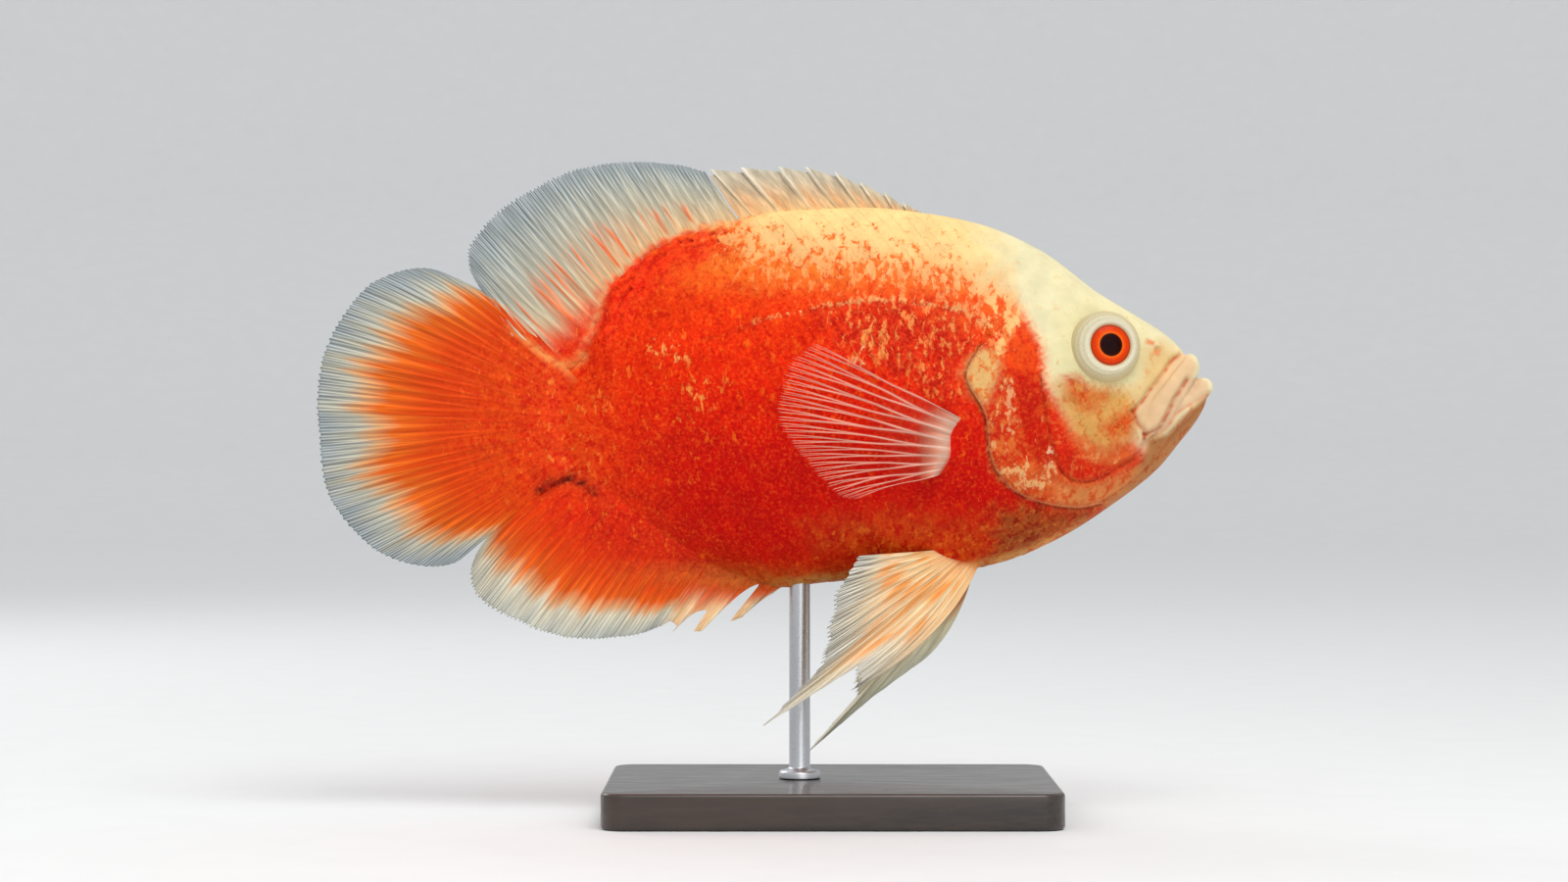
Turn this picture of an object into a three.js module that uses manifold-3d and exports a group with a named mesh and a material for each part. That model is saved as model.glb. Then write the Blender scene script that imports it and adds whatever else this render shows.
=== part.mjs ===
// An oscar, life size, swimming in place above a plain display stand.
// Millimetres, +Z up, head towards +X. The origin is under the middle of the fish, on the floor.
// The body is lofted whole from its profiles, and thin cuts part it into head, trunk and tail stalk.
import * as THREE from "three";
import { mergeVertices } from "three/addons/utils/BufferGeometryUtils.js";
import Module from "manifold-3d";

const wasm = await Module();
wasm.setup();
const { clamp, lerp, smoothstep } = THREE.MathUtils;

// Driving sizes
const GAP = 0.3; // clearance between neighbouring pieces
const FAR = 300; // longer than any cut has to reach
const SLIVER = 0.03; // a cut's leftover edges shorter than this are merged
const CHEEK_RISE = 1.9; // how far the cheeks stand proud of the trunk's flank
const COVER_RISE = 1.2; // how far the gill covers do
const COVER_THICKNESS = 2.4;
const WEB = 0.34; // half thickness of the web between two fin rays
const RAY_RISE = 0.34; // how far a ray stands above its web, on each face
const SPINE_RISE = 0.75; // and a spine

// The fish's outline from the side, as x and z
const TAIL_BASE_X = -77;
const SNOUT_X = 148.7;
const BACK = [
  [TAIL_BASE_X, 148], [-64.8, 151.6], [-59.6, 159], [-54, 176], [-45, 185.8], [-29.3, 195.4],
  [-12, 199.4], [6.2, 202.6], [34, 203.6], [55.3, 201.4], [72, 198], [91.8, 189.5], [111.5, 175],
  [124.7, 167], [133, 161.8], [139.8, 155.4], [142.2, 149], [145, 143.4], [SNOUT_X, 140.7],
];
const BELLY = [
  [TAIL_BASE_X, 114], [-65.8, 111.7], [-56, 107.6], [-46.4, 98.9], [-26.6, 87.4], [-6.9, 79.4],
  [6.2, 76.1], [19.4, 77.8], [39.1, 79.2], [58.9, 80.6], [78.6, 84.4], [98.4, 92.5], [118.1, 105.1],
  [131.2, 115.5], [139.5, 125.4], [143.8, 130.8], [147.4, 137], [SNOUT_X, 140.7],
];
// Half the body's width, as x and y
const HALF_WIDTH = [
  [TAIL_BASE_X, 2.2], [-66, 5], [-55, 7.4], [-40, 11.2], [-20, 16], [0, 20], [25, 23.2], [50, 24.4],
  [68, 24.2], [85, 22.6], [100, 20.2], [115, 17], [126, 13.4], [134, 10.2], [141, 6.8], [146, 3.4],
  [SNOUT_X, 0.4],
];
// Where the body is widest, as a share of its height, and how full its upper and lower halves are
const WIDEST_AT = [[TAIL_BASE_X, 0.5], [20, 0.52], [80, 0.5], [115, 0.46], [SNOUT_X, 0.45]];
const UPPER_FULLNESS = [
  [TAIL_BASE_X, 2], [-57, 1.55], [-20, 1.5], [20, 1.65], [70, 1.8], [95, 1.95], [118, 2.3], [SNOUT_X, 2.1],
];
const LOWER_FULLNESS = [[TAIL_BASE_X, 2], [-45, 1.5], [-5, 1.75], [30, 2.1], [SNOUT_X, 2]];
// Where each stretch of the loft starts, and how many rings it has
const RINGS = [[TAIL_BASE_X, 6], [-45, 10], [55, 9], [120, 7], [141, 5], [148.2, 1]];
const RING_POINTS = 28;

// A smooth curve through [x, value] points that never overshoots them
function through(points) {
  const last = points.length - 1;
  const slopes = points.map(([x, y], i) => {
    if (i === 0 || i === last) return 0;
    const before = (y - points[i - 1][1]) / (x - points[i - 1][0]);
    const after = (points[i + 1][1] - y) / (points[i + 1][0] - x);
    return before * after > 0 ? (2 * before * after) / (before + after) : 0;
  });
  return (x) => {
    const above = points.findIndex((point) => point[0] > x);
    const i = above < 0 ? last - 1 : Math.max(above - 1, 0);
    const span = points[i + 1][0] - points[i][0];
    const rise = points[i + 1][1] - points[i][1];
    const t = clamp((x - points[i][0]) / span, 0, 1);
    const bend = (1 - t) * (slopes[i] * span - rise) - t * (slopes[i + 1] * span - rise);
    return points[i][1] + rise * t + t * (1 - t) * bend;
  };
}

const backAt = through(BACK);
const bellyAt = through(BELLY);
const halfWidthAt = through(HALF_WIDTH);
const widestAt = through(WIDEST_AT);
const upperFullnessAt = through(UPPER_FULLNESS);
const lowerFullnessAt = through(LOWER_FULLNESS);
const middleAt = (x) => lerp(bellyAt(x), backAt(x), widestAt(x));

// Half the body's width at the height z of the section at x
function flankAt(x, z) {
  const upper = z > middleAt(x);
  const height = upper ? backAt(x) - middleAt(x) : middleAt(x) - bellyAt(x);
  const fullness = upper ? upperFullnessAt(x) : lowerFullnessAt(x);
  const share = clamp(Math.abs(z - middleAt(x)) / height, 0, 1);
  return halfWidthAt(x) * (1 - share ** fullness) ** (1 / fullness);
}

// Geometry from corner points and triangles, turned so that its faces point out
function closedGeometry(points, triangles) {
  const [a, b, c] = [new THREE.Vector3(), new THREE.Vector3(), new THREE.Vector3()];
  const volume = triangles.reduce((sum, [i, j, k]) => {
    a.fromArray(points[i]);
    return sum + a.dot(b.fromArray(points[j]).cross(c.fromArray(points[k])));
  }, 0);
  const outward = volume > 0 ? triangles : triangles.map(([i, j, k]) => [i, k, j]);
  const geometry = new THREE.BufferGeometry();
  geometry.setAttribute("position", new THREE.Float32BufferAttribute(points.flat(), 3));
  geometry.setIndex(outward.flat());
  return geometry;
}

function solid(geometry) {
  const bare = geometry.clone();
  bare.deleteAttribute("normal");
  bare.deleteAttribute("uv");
  const merged = mergeVertices(bare);
  return new wasm.Manifold(new wasm.Mesh({
    numProp: 3,
    vertProperties: merged.attributes.position.array,
    triVerts: new Uint32Array(merged.index.array),
  }));
}

// The largest body of a solid, as geometry
function geometryOf(whole) {
  const largest = whole.decompose().reduce((best, body) => (body.volume() > best.volume() ? body : best));
  const mesh = largest.getMesh();
  const geometry = new THREE.BufferGeometry();
  geometry.setAttribute("position", new THREE.Float32BufferAttribute(mesh.vertProperties, 3));
  geometry.setIndex(new THREE.BufferAttribute(mesh.triVerts, 1));
  return geometry;
}

const flat = (points) => points.map(([x, z]) => new THREE.Vector2(x, z));
const spline = (points) => new THREE.SplineCurve(flat(points));

// An outline's points moved outwards, for a tool that leaves a gap
function grown(outline, distance) {
  const turn = THREE.ShapeUtils.isClockWise(outline) ? -1 : 1;
  return outline.map((point, i) => {
    const before = outline.at(i - 1);
    const after = outline[(i + 1) % outline.length];
    const along = new THREE.Vector2().subVectors(after, before).normalize();
    return new THREE.Vector2(point.x + turn * along.y * distance, point.y - turn * along.x * distance);
  });
}

// A prism that crosses the body, with its outline given in x and z
function across(outline, fromY, toY) {
  const shape = new THREE.Shape(outline);
  const geometry = new THREE.ExtrudeGeometry(shape, { depth: toY - fromY, bevelEnabled: false });
  geometry.rotateX(Math.PI / 2);
  geometry.translate(0, toY, 0);
  return solid(geometry);
}

// The whole body. `swell` moves its surface out all round, and `cheek` only on the face's flanks.
function body(swell, cheek) {
  const stations = RINGS.flatMap(([start, count], i) => {
    const end = (RINGS[i + 1] ?? [start])[0];
    return Array.from({ length: count }, (_, k) => lerp(start, end, k / count));
  });
  const points = [];
  stations.forEach((x) => {
    for (let k = 0; k < RING_POINTS; k += 1) {
      const angle = (2 * Math.PI * k) / RING_POINTS;
      const upper = Math.sin(angle) > 0;
      const power = 2 / (upper ? upperFullnessAt(x) : lowerFullnessAt(x));
      const height = (upper ? backAt(x) - middleAt(x) : middleAt(x) - bellyAt(x)) + swell;
      const half = Math.max(halfWidthAt(x) + swell, 0.2);
      const z = middleAt(x) + Math.sign(Math.sin(angle)) * Math.abs(Math.sin(angle)) ** power * height;
      const out = Math.sign(Math.cos(angle)) * Math.abs(Math.cos(angle)) ** power * half;
      const face = cheek * (1 - smoothstep(z, 150, 172)) * (1 - smoothstep(x, 112, 134));
      points.push([x, out + Math.cos(angle) * face, z]);
    }
  });
  const tail = points.push([TAIL_BASE_X, 0, middleAt(TAIL_BASE_X)]) - 1;
  const snout = points.push([SNOUT_X + Math.max(swell, 0), 0, middleAt(SNOUT_X)]) - 1;
  const triangles = [];
  for (let k = 0; k < RING_POINTS; k += 1) {
    const next = (k + 1) % RING_POINTS;
    for (let i = 0; i < stations.length - 1; i += 1) {
      const [a, b] = [i * RING_POINTS + k, i * RING_POINTS + next];
      triangles.push([a, a + RING_POINTS, b], [b, a + RING_POINTS, b + RING_POINTS]);
    }
    const front = (stations.length - 1) * RING_POINTS;
    triangles.push([tail, k, next], [snout, front + next, front + k]);
  }
  return solid(closedGeometry(points, triangles));
}

// The rear edge of the gill cover, from its top round to the throat, and the crease in front of it
const GILL_EDGE = spline([
  [74, 160.5], [70.5, 155.5], [66.4, 148], [67.4, 143], [72.4, 134], [73.9, 122], [77, 114.4],
  [83, 108.4], [92.8, 104.5], [104, 103], [112, 104.4],
]).getPoints(20);
const CHEEK_EDGE = spline([
  [116, 107], [107, 110.8], [101, 113.6], [96.6, 124], [93, 137], [91, 148], [84, 161.5],
]).getPoints(10);
const GILL_EDGE_OF_HEAD = 16; // how many of its points the head's own rear edge follows
const HEAD_OUTLINE = [
  ...flat([[72, FAR], [72, 196], [78, 178]]),
  ...GILL_EDGE.slice(0, GILL_EDGE_OF_HEAD),
  ...flat([[90, 90], [89, -FAR], [FAR, -FAR], [FAR, FAR]]),
];
const COVER_OUTLINE = [...GILL_EDGE, ...CHEEK_EDGE];
const STALK_OUTLINE = flat([[-46, -FAR], [-46, 118], [-50, 140], [-50, FAR], [-FAR, FAR], [-FAR, -FAR]]);

// A fin is one closed sheet, alike on both faces. Its columns run from root to margin, each bent
// near its root and near its tip; `sideAt` places the sheet's middle and `halfAt` gives half its
// thickness. With a margin it is the tool that cuts the fin's slot: thicker, wider, deeper rooted.
function fin(columns, rows, sideAt, halfAt, margin) {
  const points = [];
  columns.forEach((column, i) => {
    const neighbour = columns[i === 0 ? 1 : columns.length - 2];
    const isEnd = i === 0 || i === columns.length - 1;
    const wider = new THREE.Vector2().subVectors(column.root, neighbour.root).setLength(isEnd ? margin : 0);
    const root = column.root.clone().add(wider);
    const tip = column.tip.clone().add(wider);
    const low = root.clone().lerp(tip, 1 / 3).add(column.lowBend);
    const high = root.clone().lerp(tip, 2 / 3).add(column.highBend);
    const middles = new THREE.CubicBezierCurve(root, low, high, tip).getPoints(rows)
      .map((place, j) => new THREE.Vector3(place.x, sideAt(column.u, j / rows), place.y));
    middles[0].add(new THREE.Vector3().subVectors(middles[0], middles[1]).setLength(margin));
    middles.forEach(({ x, y, z }, j) => {
      const half = halfAt(column, j / rows) + 1.2 * margin;
      points.push([x, y - half, z], [x, y + half, z]);
    });
  });
  const at = (i, j, face) => (i * (rows + 1) + j) * 2 + face;
  const triangles = [];
  const quad = (a, b, c, d) => triangles.push([a, b, c], [a, c, d]);
  const last = columns.length - 1;
  for (let i = 0; i < last; i += 1) {
    for (let j = 0; j < rows; j += 1) {
      quad(at(i, j, 0), at(i + 1, j, 0), at(i + 1, j + 1, 0), at(i, j + 1, 0));
      triangles.push([at(i, j, 1), at(i + 1, j + 1, 1), at(i + 1, j, 1)]);
      triangles.push([at(i, j, 1), at(i, j + 1, 1), at(i + 1, j + 1, 1)]);
    }
    quad(at(i, 0, 1), at(i + 1, 0, 1), at(i + 1, 0, 0), at(i, 0, 0));
    quad(at(i, rows, 0), at(i + 1, rows, 0), at(i + 1, rows, 1), at(i, rows, 1));
  }
  for (let j = 0; j < rows; j += 1) {
    quad(at(0, j, 1), at(0, j, 0), at(0, j + 1, 0), at(0, j + 1, 1));
    quad(at(last, j, 0), at(last, j, 1), at(last, j + 1, 1), at(last, j + 1, 0));
  }
  return closedGeometry(points, triangles);
}

const STRAIGHT = [0, 0];
const vector = ([x, z]) => new THREE.Vector2(x, z);

// The columns of a soft fin: every second one is a ray, and the web between falls short of the tips
function rays(count, rootCurve, marginCurve, bendsAt, notch) {
  return Array.from({ length: 2 * count - 1 }, (_, i) => {
    const u = i / (2 * count - 2);
    const isWeb = i % 2 === 1;
    const root = rootCurve.getPointAt(u);
    const tip = marginCurve.getPointAt(u).lerp(root, isWeb ? notch : 0);
    const [lowBend, highBend] = bendsAt(u);
    return { root, tip, lowBend, highBend, u, isWeb, rise: isWeb ? 0 : RAY_RISE };
  });
}

// The columns of a run of spines: each is a ridge between two flanks that meet at its sharp tip,
// with the web behind it fastened a little below the tip
function spines(tips, rootOf, halfWidth, notch) {
  return tips.flatMap((tipPlace, i) => {
    const tip = vector(tipPlace);
    const root = rootOf(tip, i);
    const ahead = new THREE.Vector2(halfWidth, 0);
    const front = tip.clone().lerp(root, 0.02);
    front.x += 0.3;
    const behind = tip.clone().lerp(root, Math.min(0.4, notch / tip.distanceTo(root)));
    behind.x -= 0.4;
    const common = { lowBend: vector(STRAIGHT), highBend: vector(STRAIGHT), u: 0, isWeb: false };
    return [
      { ...common, root: root.clone().add(ahead), tip: front, rise: 0 },
      { ...common, root, tip, rise: SPINE_RISE },
      { ...common, root: root.clone().sub(ahead), tip: behind, rise: 0 },
    ];
  });
}

// Half thickness of a fin: flesh at the root thins out to the web, and the rays rise out of it
function thickness(rootHalf, fleshShare) {
  return (column, v) => {
    const flesh = (rootHalf - WEB) * Math.max(0, 1 - v / fleshShare) ** 2;
    return WEB + flesh + column.rise * smoothstep(v, 0.02, 0.2) * (1 - 0.6 * v);
  };
}

// The fins that stand on the middle plane wave a little towards their margins
const wave = (height, turns, start) => (u, v) => height * v * v * Math.sin(2 * Math.PI * turns * u + start);

const softDorsalColumns = rays(
  19,
  spline([
    [-8.6, 198.6], [-29.3, 193.6], [-38.4, 188.4], [-46.2, 181.6], [-51.8, 174], [-56, 163.6], [-63.6, 150.8],
  ]),
  spline([
    [-20.4, 215.8], [-29.9, 218.3], [-43.9, 219.4], [-57.2, 218.2], [-68.4, 215], [-78.4, 210],
    [-87.6, 204.4], [-94.8, 197.6], [-99.6, 190.7], [-99.8, 183.6], [-96.6, 177.6],
  ]),
  (u) => [vector([-4.6, -5.2]).multiplyScalar(u ** 4), vector(STRAIGHT)],
  0.008,
);
const softDorsal = (margin) => fin(softDorsalColumns, 7, wave(1.4, 1.2, 0), thickness(1.9, 0.4), margin);

// The web behind the last dorsal spine ends just ahead of the first soft ray
const SPINE_SLANT = 0.86; // how far a dorsal spine leans back, as a share of its height
const LAST_WEB = {
  root: vector([-7, 199]),
  tip: vector([-18.8, 214]),
  lowBend: vector(STRAIGHT),
  highBend: vector(STRAIGHT),
  u: 0,
  isWeb: false,
  rise: 0,
};
const spinyDorsalColumns = [
  ...spines(
    [
      [51.4, 203.8], [45.9, 205.7], [39.4, 209.2], [31.3, 212.6], [23, 215.8], [13.5, 217.3], [4.2, 217.5],
      [-8.4, 217.2], [-18.6, 216.6],
    ],
    (tip) => {
      const x = tip.x + Math.max(SPINE_SLANT * (tip.y - backAt(tip.x)), 2.6);
      return new THREE.Vector2(x, backAt(x) - 1.4);
    },
    0.9,
    2.6,
  ),
  LAST_WEB,
];
const spinyDorsal = (margin) => fin(spinyDorsalColumns, 5, () => 0, thickness(1.4, 0.6), margin);

const analSpineColumns = spines(
  [[-7.9, 66], [-21.3, 61.4], [-31.3, 60.8]],
  (tip, i) => new THREE.Vector2([6, -3.6, -12.8][i], [78, 80.8, 83.9][i]),
  0.9,
  3,
);
const analRayColumns = rays(
  15,
  spline([[-18, 86.2], [-26.6, 89.4], [-37, 95], [-46.4, 101.4], [-54, 108.6], [-64, 113.4]]),
  spline([
    [-34.4, 63.2], [-42.1, 60.2], [-51.6, 58.8], [-63.5, 58.5], [-73.9, 60.5], [-83.4, 64.4],
    [-92.4, 68.6], [-97.9, 74.4], [-99.4, 80.5], [-97.6, 86.4],
  ]),
  (u) => [vector([-2.6, 3.4]).multiplyScalar(u ** 3), vector([-2.6, 3.4]).multiplyScalar(u ** 3)],
  0.008,
);
const analColumns = [...analSpineColumns, ...analRayColumns];
const anal = (margin) => fin(analColumns, 7, wave(1.2, 1, 2), thickness(1.9, 0.4), margin);

const caudalColumns = rays(
  17,
  spline([[-68.8, 150.8], [-73.6, 144], [-76, 131], [-74, 119], [-71, 111.6]]),
  spline([
    [-102.3, 178], [-110.2, 182.6], [-118.4, 183.4], [-127.8, 180.8], [-136.4, 175.2], [-146.8, 159.3],
    [-150.4, 144.6], [-150.4, 131], [-148.1, 111], [-142.8, 100.4], [-134.2, 90.9], [-124.4, 85.2],
    [-113.2, 82.9], [-104.4, 84.2], [-98.6, 89],
  ]),
  (u) => [
    vector([2, 1.4]).multiplyScalar(Math.max(0, 1 - 2 * u) ** 2),
    vector([5, 5.4]).multiplyScalar(Math.max(0, 1 - 2 * u) ** 2),
  ],
  0.008,
);
const caudalThickness = thickness(2.3, 0.3);
const caudal = (margin) => fin(caudalColumns, 8, wave(1.2, 1, 1), (column, v) => (
  lerp(WEB, caudalThickness(column, v), Math.sqrt(Math.max(0.12, 1 - (2 * column.u - 1) ** 2)))
), margin);

// A paired fin on one side: -1 is the fish's right, towards -y, and 1 its left
const pectoralColumns = rays(
  13,
  spline([[65.2, 131.2], [66.6, 123], [65.4, 114.7]]),
  spline([
    [13, 158.4], [4.4, 150.8], [1.6, 138], [2, 129.8], [7.4, 122.6], [12.2, 117.2], [17, 111.8],
    [20.8, 108], [25.2, 105.8], [29, 105.4],
  ]),
  () => [vector(STRAIGHT), vector([0, 2])],
  0.02,
);
function pectoral(side, margin) {
  const sideAt = (u, v) => side * (20.4 + 5.6 * smoothstep(v, 0, 0.12) + 11 * v ** 1.2);
  return fin(pectoralColumns, 8, sideAt, thickness(1.5, 0.3), margin);
}

// The pelvic fins hang at slightly different angles. Each list has the tips from the front edge to
// the rear one: the front ray ends short, the next is drawn out into a filament.
const PELVIC = {
  right: {
    roots: [[71.6, 84.6], [57.4, 89]],
    tips: [
      [26.9, 42.4], [28.8, 43.6], [30.6, 45.2], [20.9, 43.4], [-2.2, 30], [17.6, 50.2], [18.2, 54.6],
      [20.2, 58.6], [19.8, 63.4], [22, 68.6], [22, 73.8], [25.8, 79.6], [30.4, 87.4],
    ],
    frontBends: [[5, -6.6], [4.2, -6.2]],
  },
  left: {
    roots: [[71, 84.6], [57.4, 89]],
    tips: [
      [52.6, 49.4], [34.8, 36.3], [11, 15.6], [30.2, 37.1], [29.6, 41.6], [30.8, 46.4], [29.6, 52], [31.4, 58],
      [30.8, 63], [33.2, 69], [33, 74], [36, 80], [38.4, 86.4],
    ],
    frontBends: [[3.4, -3.2], [2.5, -5.4]],
  },
};
function pelvic(name, side, margin) {
  const { roots, tips, frontBends } = PELVIC[name];
  const [front, rear] = flat(roots);
  const columns = tips.map((tip, i) => {
    const u = i / (tips.length - 1);
    const isWeb = i % 2 === 1;
    const [lowBend, highBend] = frontBends.map((bend) => vector(bend).multiplyScalar((1 - u) ** 2));
    return { root: front.clone().lerp(rear, u), tip: vector(tip), lowBend, highBend, u, isWeb,
      rise: isWeb ? 0 : RAY_RISE };
  });
  const sideAt = (u, v) => side * (
    lerp(5.4, 10.6, u) + 4.4 * smoothstep(v, 0, 0.16) + lerp(13, 8, u) * v
  );
  return fin(columns, 9, sideAt, thickness(1.3, 0.35), margin);
}

// A lip is a roll that follows half an ellipse round the mouth, in a plane that slopes back
const UPPER_LIP = { corner: 127.6, length: 14.9, half: 13, front: 150.1, slope: 1.34, tall: 4.5, deep: 3.1 };
const LOWER_LIP = { corner: 131.8, length: 15, half: 10.8, front: 143.3, slope: 1, tall: 3.2, deep: 3.4 };
const LIP_REACH = THREE.MathUtils.degToRad(100);
const LIP_STEPS = 16;
const LIP_SIDES = 10;
function lip(form, margin) {
  const place = (angle) => {
    const x = form.corner + form.length * Math.cos(angle);
    const z = form.front - form.slope * (form.corner + form.length - x);
    return new THREE.Vector3(x, form.half * Math.sin(angle), z);
  };
  const points = [];
  const reach = LIP_REACH + (1.2 * margin) / form.half;
  for (let i = 0; i <= LIP_STEPS; i += 1) {
    const angle = lerp(-reach, reach, i / LIP_STEPS);
    const centre = place(angle);
    const along = place(angle + 0.01).sub(place(angle - 0.01)).normalize();
    const out = new THREE.Vector3(Math.cos(angle) / form.length, Math.sin(angle) / form.half, 0).normalize();
    const up = new THREE.Vector3().crossVectors(along, out).normalize();
    const taper = Math.sqrt(1 - 0.8 * smoothstep(Math.abs(angle) / reach, 0.75, 1));
    const thinner = 1 - 0.2 * Math.sin(angle) ** 2;
    for (let k = 0; k < LIP_SIDES; k += 1) {
      const turn = (2 * Math.PI * k) / LIP_SIDES;
      const point = centre.clone()
        .addScaledVector(out, Math.cos(turn) * (form.deep * taper * thinner + margin))
        .addScaledVector(up, Math.sin(turn) * (form.tall * taper + margin));
      points.push(point.toArray());
    }
  }
  const ends = [points.push(place(-reach).toArray()) - 1, points.push(place(reach).toArray()) - 1];
  const triangles = [];
  for (let k = 0; k < LIP_SIDES; k += 1) {
    const next = (k + 1) % LIP_SIDES;
    for (let i = 0; i < LIP_STEPS; i += 1) {
      const [a, b] = [i * LIP_SIDES + k, i * LIP_SIDES + next];
      triangles.push([a, a + LIP_SIDES, b], [b, a + LIP_SIDES, b + LIP_SIDES]);
    }
    triangles.push([ends[0], k, next]);
    triangles.push([ends[1], LIP_STEPS * LIP_SIDES + next, LIP_STEPS * LIP_SIDES + k]);
  }
  return closedGeometry(points, triangles);
}

// An eye: a soft ring that bulges round a slightly sunk iris, turned on its own axis. The profile
// is radius and height above the head's skin.
const EYE = { x: 112.8, z: 156.6, radius: 11.4, sink: 6 };
const EYE_AXIS = [0.15, 1, 0.14];
function eye(side, margin) {
  const r = EYE.radius + margin;
  const profile = [
    [0, -EYE.sink - margin], [0.8 * r, -EYE.sink - margin], [r, -2], [r, 0.8 + margin], [0.93 * r, 2.4 + margin],
    [0.8 * r, 3.2 + margin], [0.66 * r, 3.1 + margin], [0.6 * r, 2.7 + margin], [0.5 * r, 3.2 + margin],
    [0.3 * r, 4 + margin], [0, 4.3 + margin],
  ];
  const geometry = new THREE.LatheGeometry(flat(profile), 24);
  const axis = new THREE.Vector3(EYE_AXIS[0], side * EYE_AXIS[1], EYE_AXIS[2]).normalize();
  geometry.applyQuaternion(new THREE.Quaternion().setFromUnitVectors(new THREE.Vector3(0, 1, 0), axis));
  geometry.translate(EYE.x, side * (flankAt(EYE.x, EYE.z) - 0.6), EYE.z);
  return geometry;
}

const NOSTRIL = { x: 131.9, z: 155.8, radius: 1.3 };
function nostril(side) {
  const geometry = new THREE.SphereGeometry(NOSTRIL.radius, 10, 6);
  geometry.translate(NOSTRIL.x, side * flankAt(NOSTRIL.x, NOSTRIL.z), NOSTRIL.z);
  return geometry;
}

// The stand: a low base with rounded corners, and one rod let into the base and the belly
const BASE = { x: 22, length: 150, width: 112, height: 12, corner: 8, chamfer: 1.5 };
const ROD = { x: 11.5, radius: 3.5, footDepth: 6, bellyDepth: 9, collar: 7, collarHeight: 3 };
function standBase() {
  const inset = BASE.chamfer;
  const [w, h, r] = [BASE.length / 2 - inset, BASE.width / 2 - inset, BASE.corner - inset];
  const shape = new THREE.Shape();
  shape.moveTo(-w + r, -h);
  shape.absarc(w - r, -h + r, r, -Math.PI / 2, 0, false);
  shape.absarc(w - r, h - r, r, 0, Math.PI / 2, false);
  shape.absarc(-w + r, h - r, r, Math.PI / 2, Math.PI, false);
  shape.absarc(-w + r, -h + r, r, Math.PI, 1.5 * Math.PI, false);
  const geometry = new THREE.ExtrudeGeometry(shape, {
    depth: BASE.height - 2 * inset,
    bevelThickness: inset,
    bevelSize: inset,
    bevelSegments: 1,
    curveSegments: 6,
  });
  geometry.translate(BASE.x, 0, inset);
  return geometry;
}
function standRod(margin) {
  const top = bellyAt(ROD.x) + ROD.bellyDepth + margin;
  const bottom = BASE.height - ROD.footDepth - margin;
  const radius = ROD.radius + margin;
  const collarFoot = BASE.height + GAP - margin;
  const collarTop = collarFoot + ROD.collarHeight;
  const profile = flat([
    [0, bottom], [radius, bottom], [radius, collarFoot], [ROD.collar, collarFoot],
    [ROD.collar, collarTop - 1], [radius + 1, collarTop], [radius, collarTop + 0.4], [radius, top], [0, top],
  ]);
  const geometry = new THREE.LatheGeometry(profile, 24);
  geometry.rotateX(Math.PI / 2);
  geometry.translate(ROD.x, 0, 0);
  return geometry;
}

const paint = (color, roughness, metalness = 0) => new THREE.MeshStandardMaterial({ color, roughness, metalness });
const FINISH = {
  red: paint(0xd9340f, 0.45),
  cream: paint(0xe8d2a0, 0.45),
  cover: paint(0xdb7a3c, 0.45),
  lip: paint(0xe3bd94, 0.4),
  eye: paint(0xd9cdb0, 0.15),
  fin: paint(0xe07a3c, 0.5),
  paleFin: paint(0xe6b98c, 0.5),
  wood: paint(0x2b2320, 0.5),
  steel: paint(0xb9bcc0, 0.3, 1),
};

const fish = new THREE.Group();
function add(name, geometry, material) {
  const mesh = new THREE.Mesh(geometry, material);
  mesh.name = name;
  fish.add(mesh);
}
const SIDES = [["right", -1], ["left", 1]];

// The head, with its covers, lips, eyes and nostrils
const underCovers = body(-COVER_THICKNESS, COVER_RISE);
const coverShell = body(0, COVER_RISE).subtract(underCovers);
const coverPocket = across(grown(COVER_OUTLINE, GAP), -FAR, FAR).subtract(body(-COVER_THICKNESS - GAP, COVER_RISE));
let head = body(0, CHEEK_RISE).intersect(across(HEAD_OUTLINE, -FAR, FAR)).subtract(coverPocket);
head = head.subtract(solid(lip(UPPER_LIP, GAP))).subtract(solid(lip(LOWER_LIP, GAP)));
SIDES.forEach(([, side]) => {
  head = head.subtract(solid(eye(side, GAP))).subtract(solid(nostril(side)));
});
add("head", geometryOf(head), FINISH.cream);
SIDES.forEach(([name, side]) => {
  const near = across(COVER_OUTLINE, side < 0 ? -FAR : 2, side < 0 ? -2 : FAR);
  add(`gill_cover_${name}`, geometryOf(coverShell.intersect(near)), FINISH.cover);
  add(`eye_${name}`, eye(side, 0), FINISH.eye);
});
add("upper_lip", lip(UPPER_LIP, 0), FINISH.lip);
add("lower_lip", geometryOf(solid(lip(LOWER_LIP, 0)).subtract(solid(lip(UPPER_LIP, GAP)))), FINISH.lip);

// The trunk and the tail stalk, with the slots that the fins and the rod stand in
const whole = body(0, 0);
const onBack = solid(softDorsal(GAP));
const underTail = solid(anal(GAP));
let torso = whole.subtract(across(grown(HEAD_OUTLINE, GAP), -FAR, FAR)).subtract(across(STALK_OUTLINE, -FAR, FAR));
torso = torso.subtract(onBack).subtract(underTail).subtract(solid(spinyDorsal(GAP)));
SIDES.forEach(([name, side]) => {
  torso = torso.subtract(solid(pectoral(side, GAP))).subtract(solid(pelvic(name, side, GAP)));
});
torso = torso.subtract(solid(standRod(GAP)));
add("torso", geometryOf(torso), FINISH.red);
const stalk = whole.intersect(across(grown(STALK_OUTLINE, -GAP), -FAR, FAR));
add("tail_stalk", geometryOf(stalk.subtract(onBack).subtract(underTail).subtract(solid(caudal(GAP)))), FINISH.red);

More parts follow.
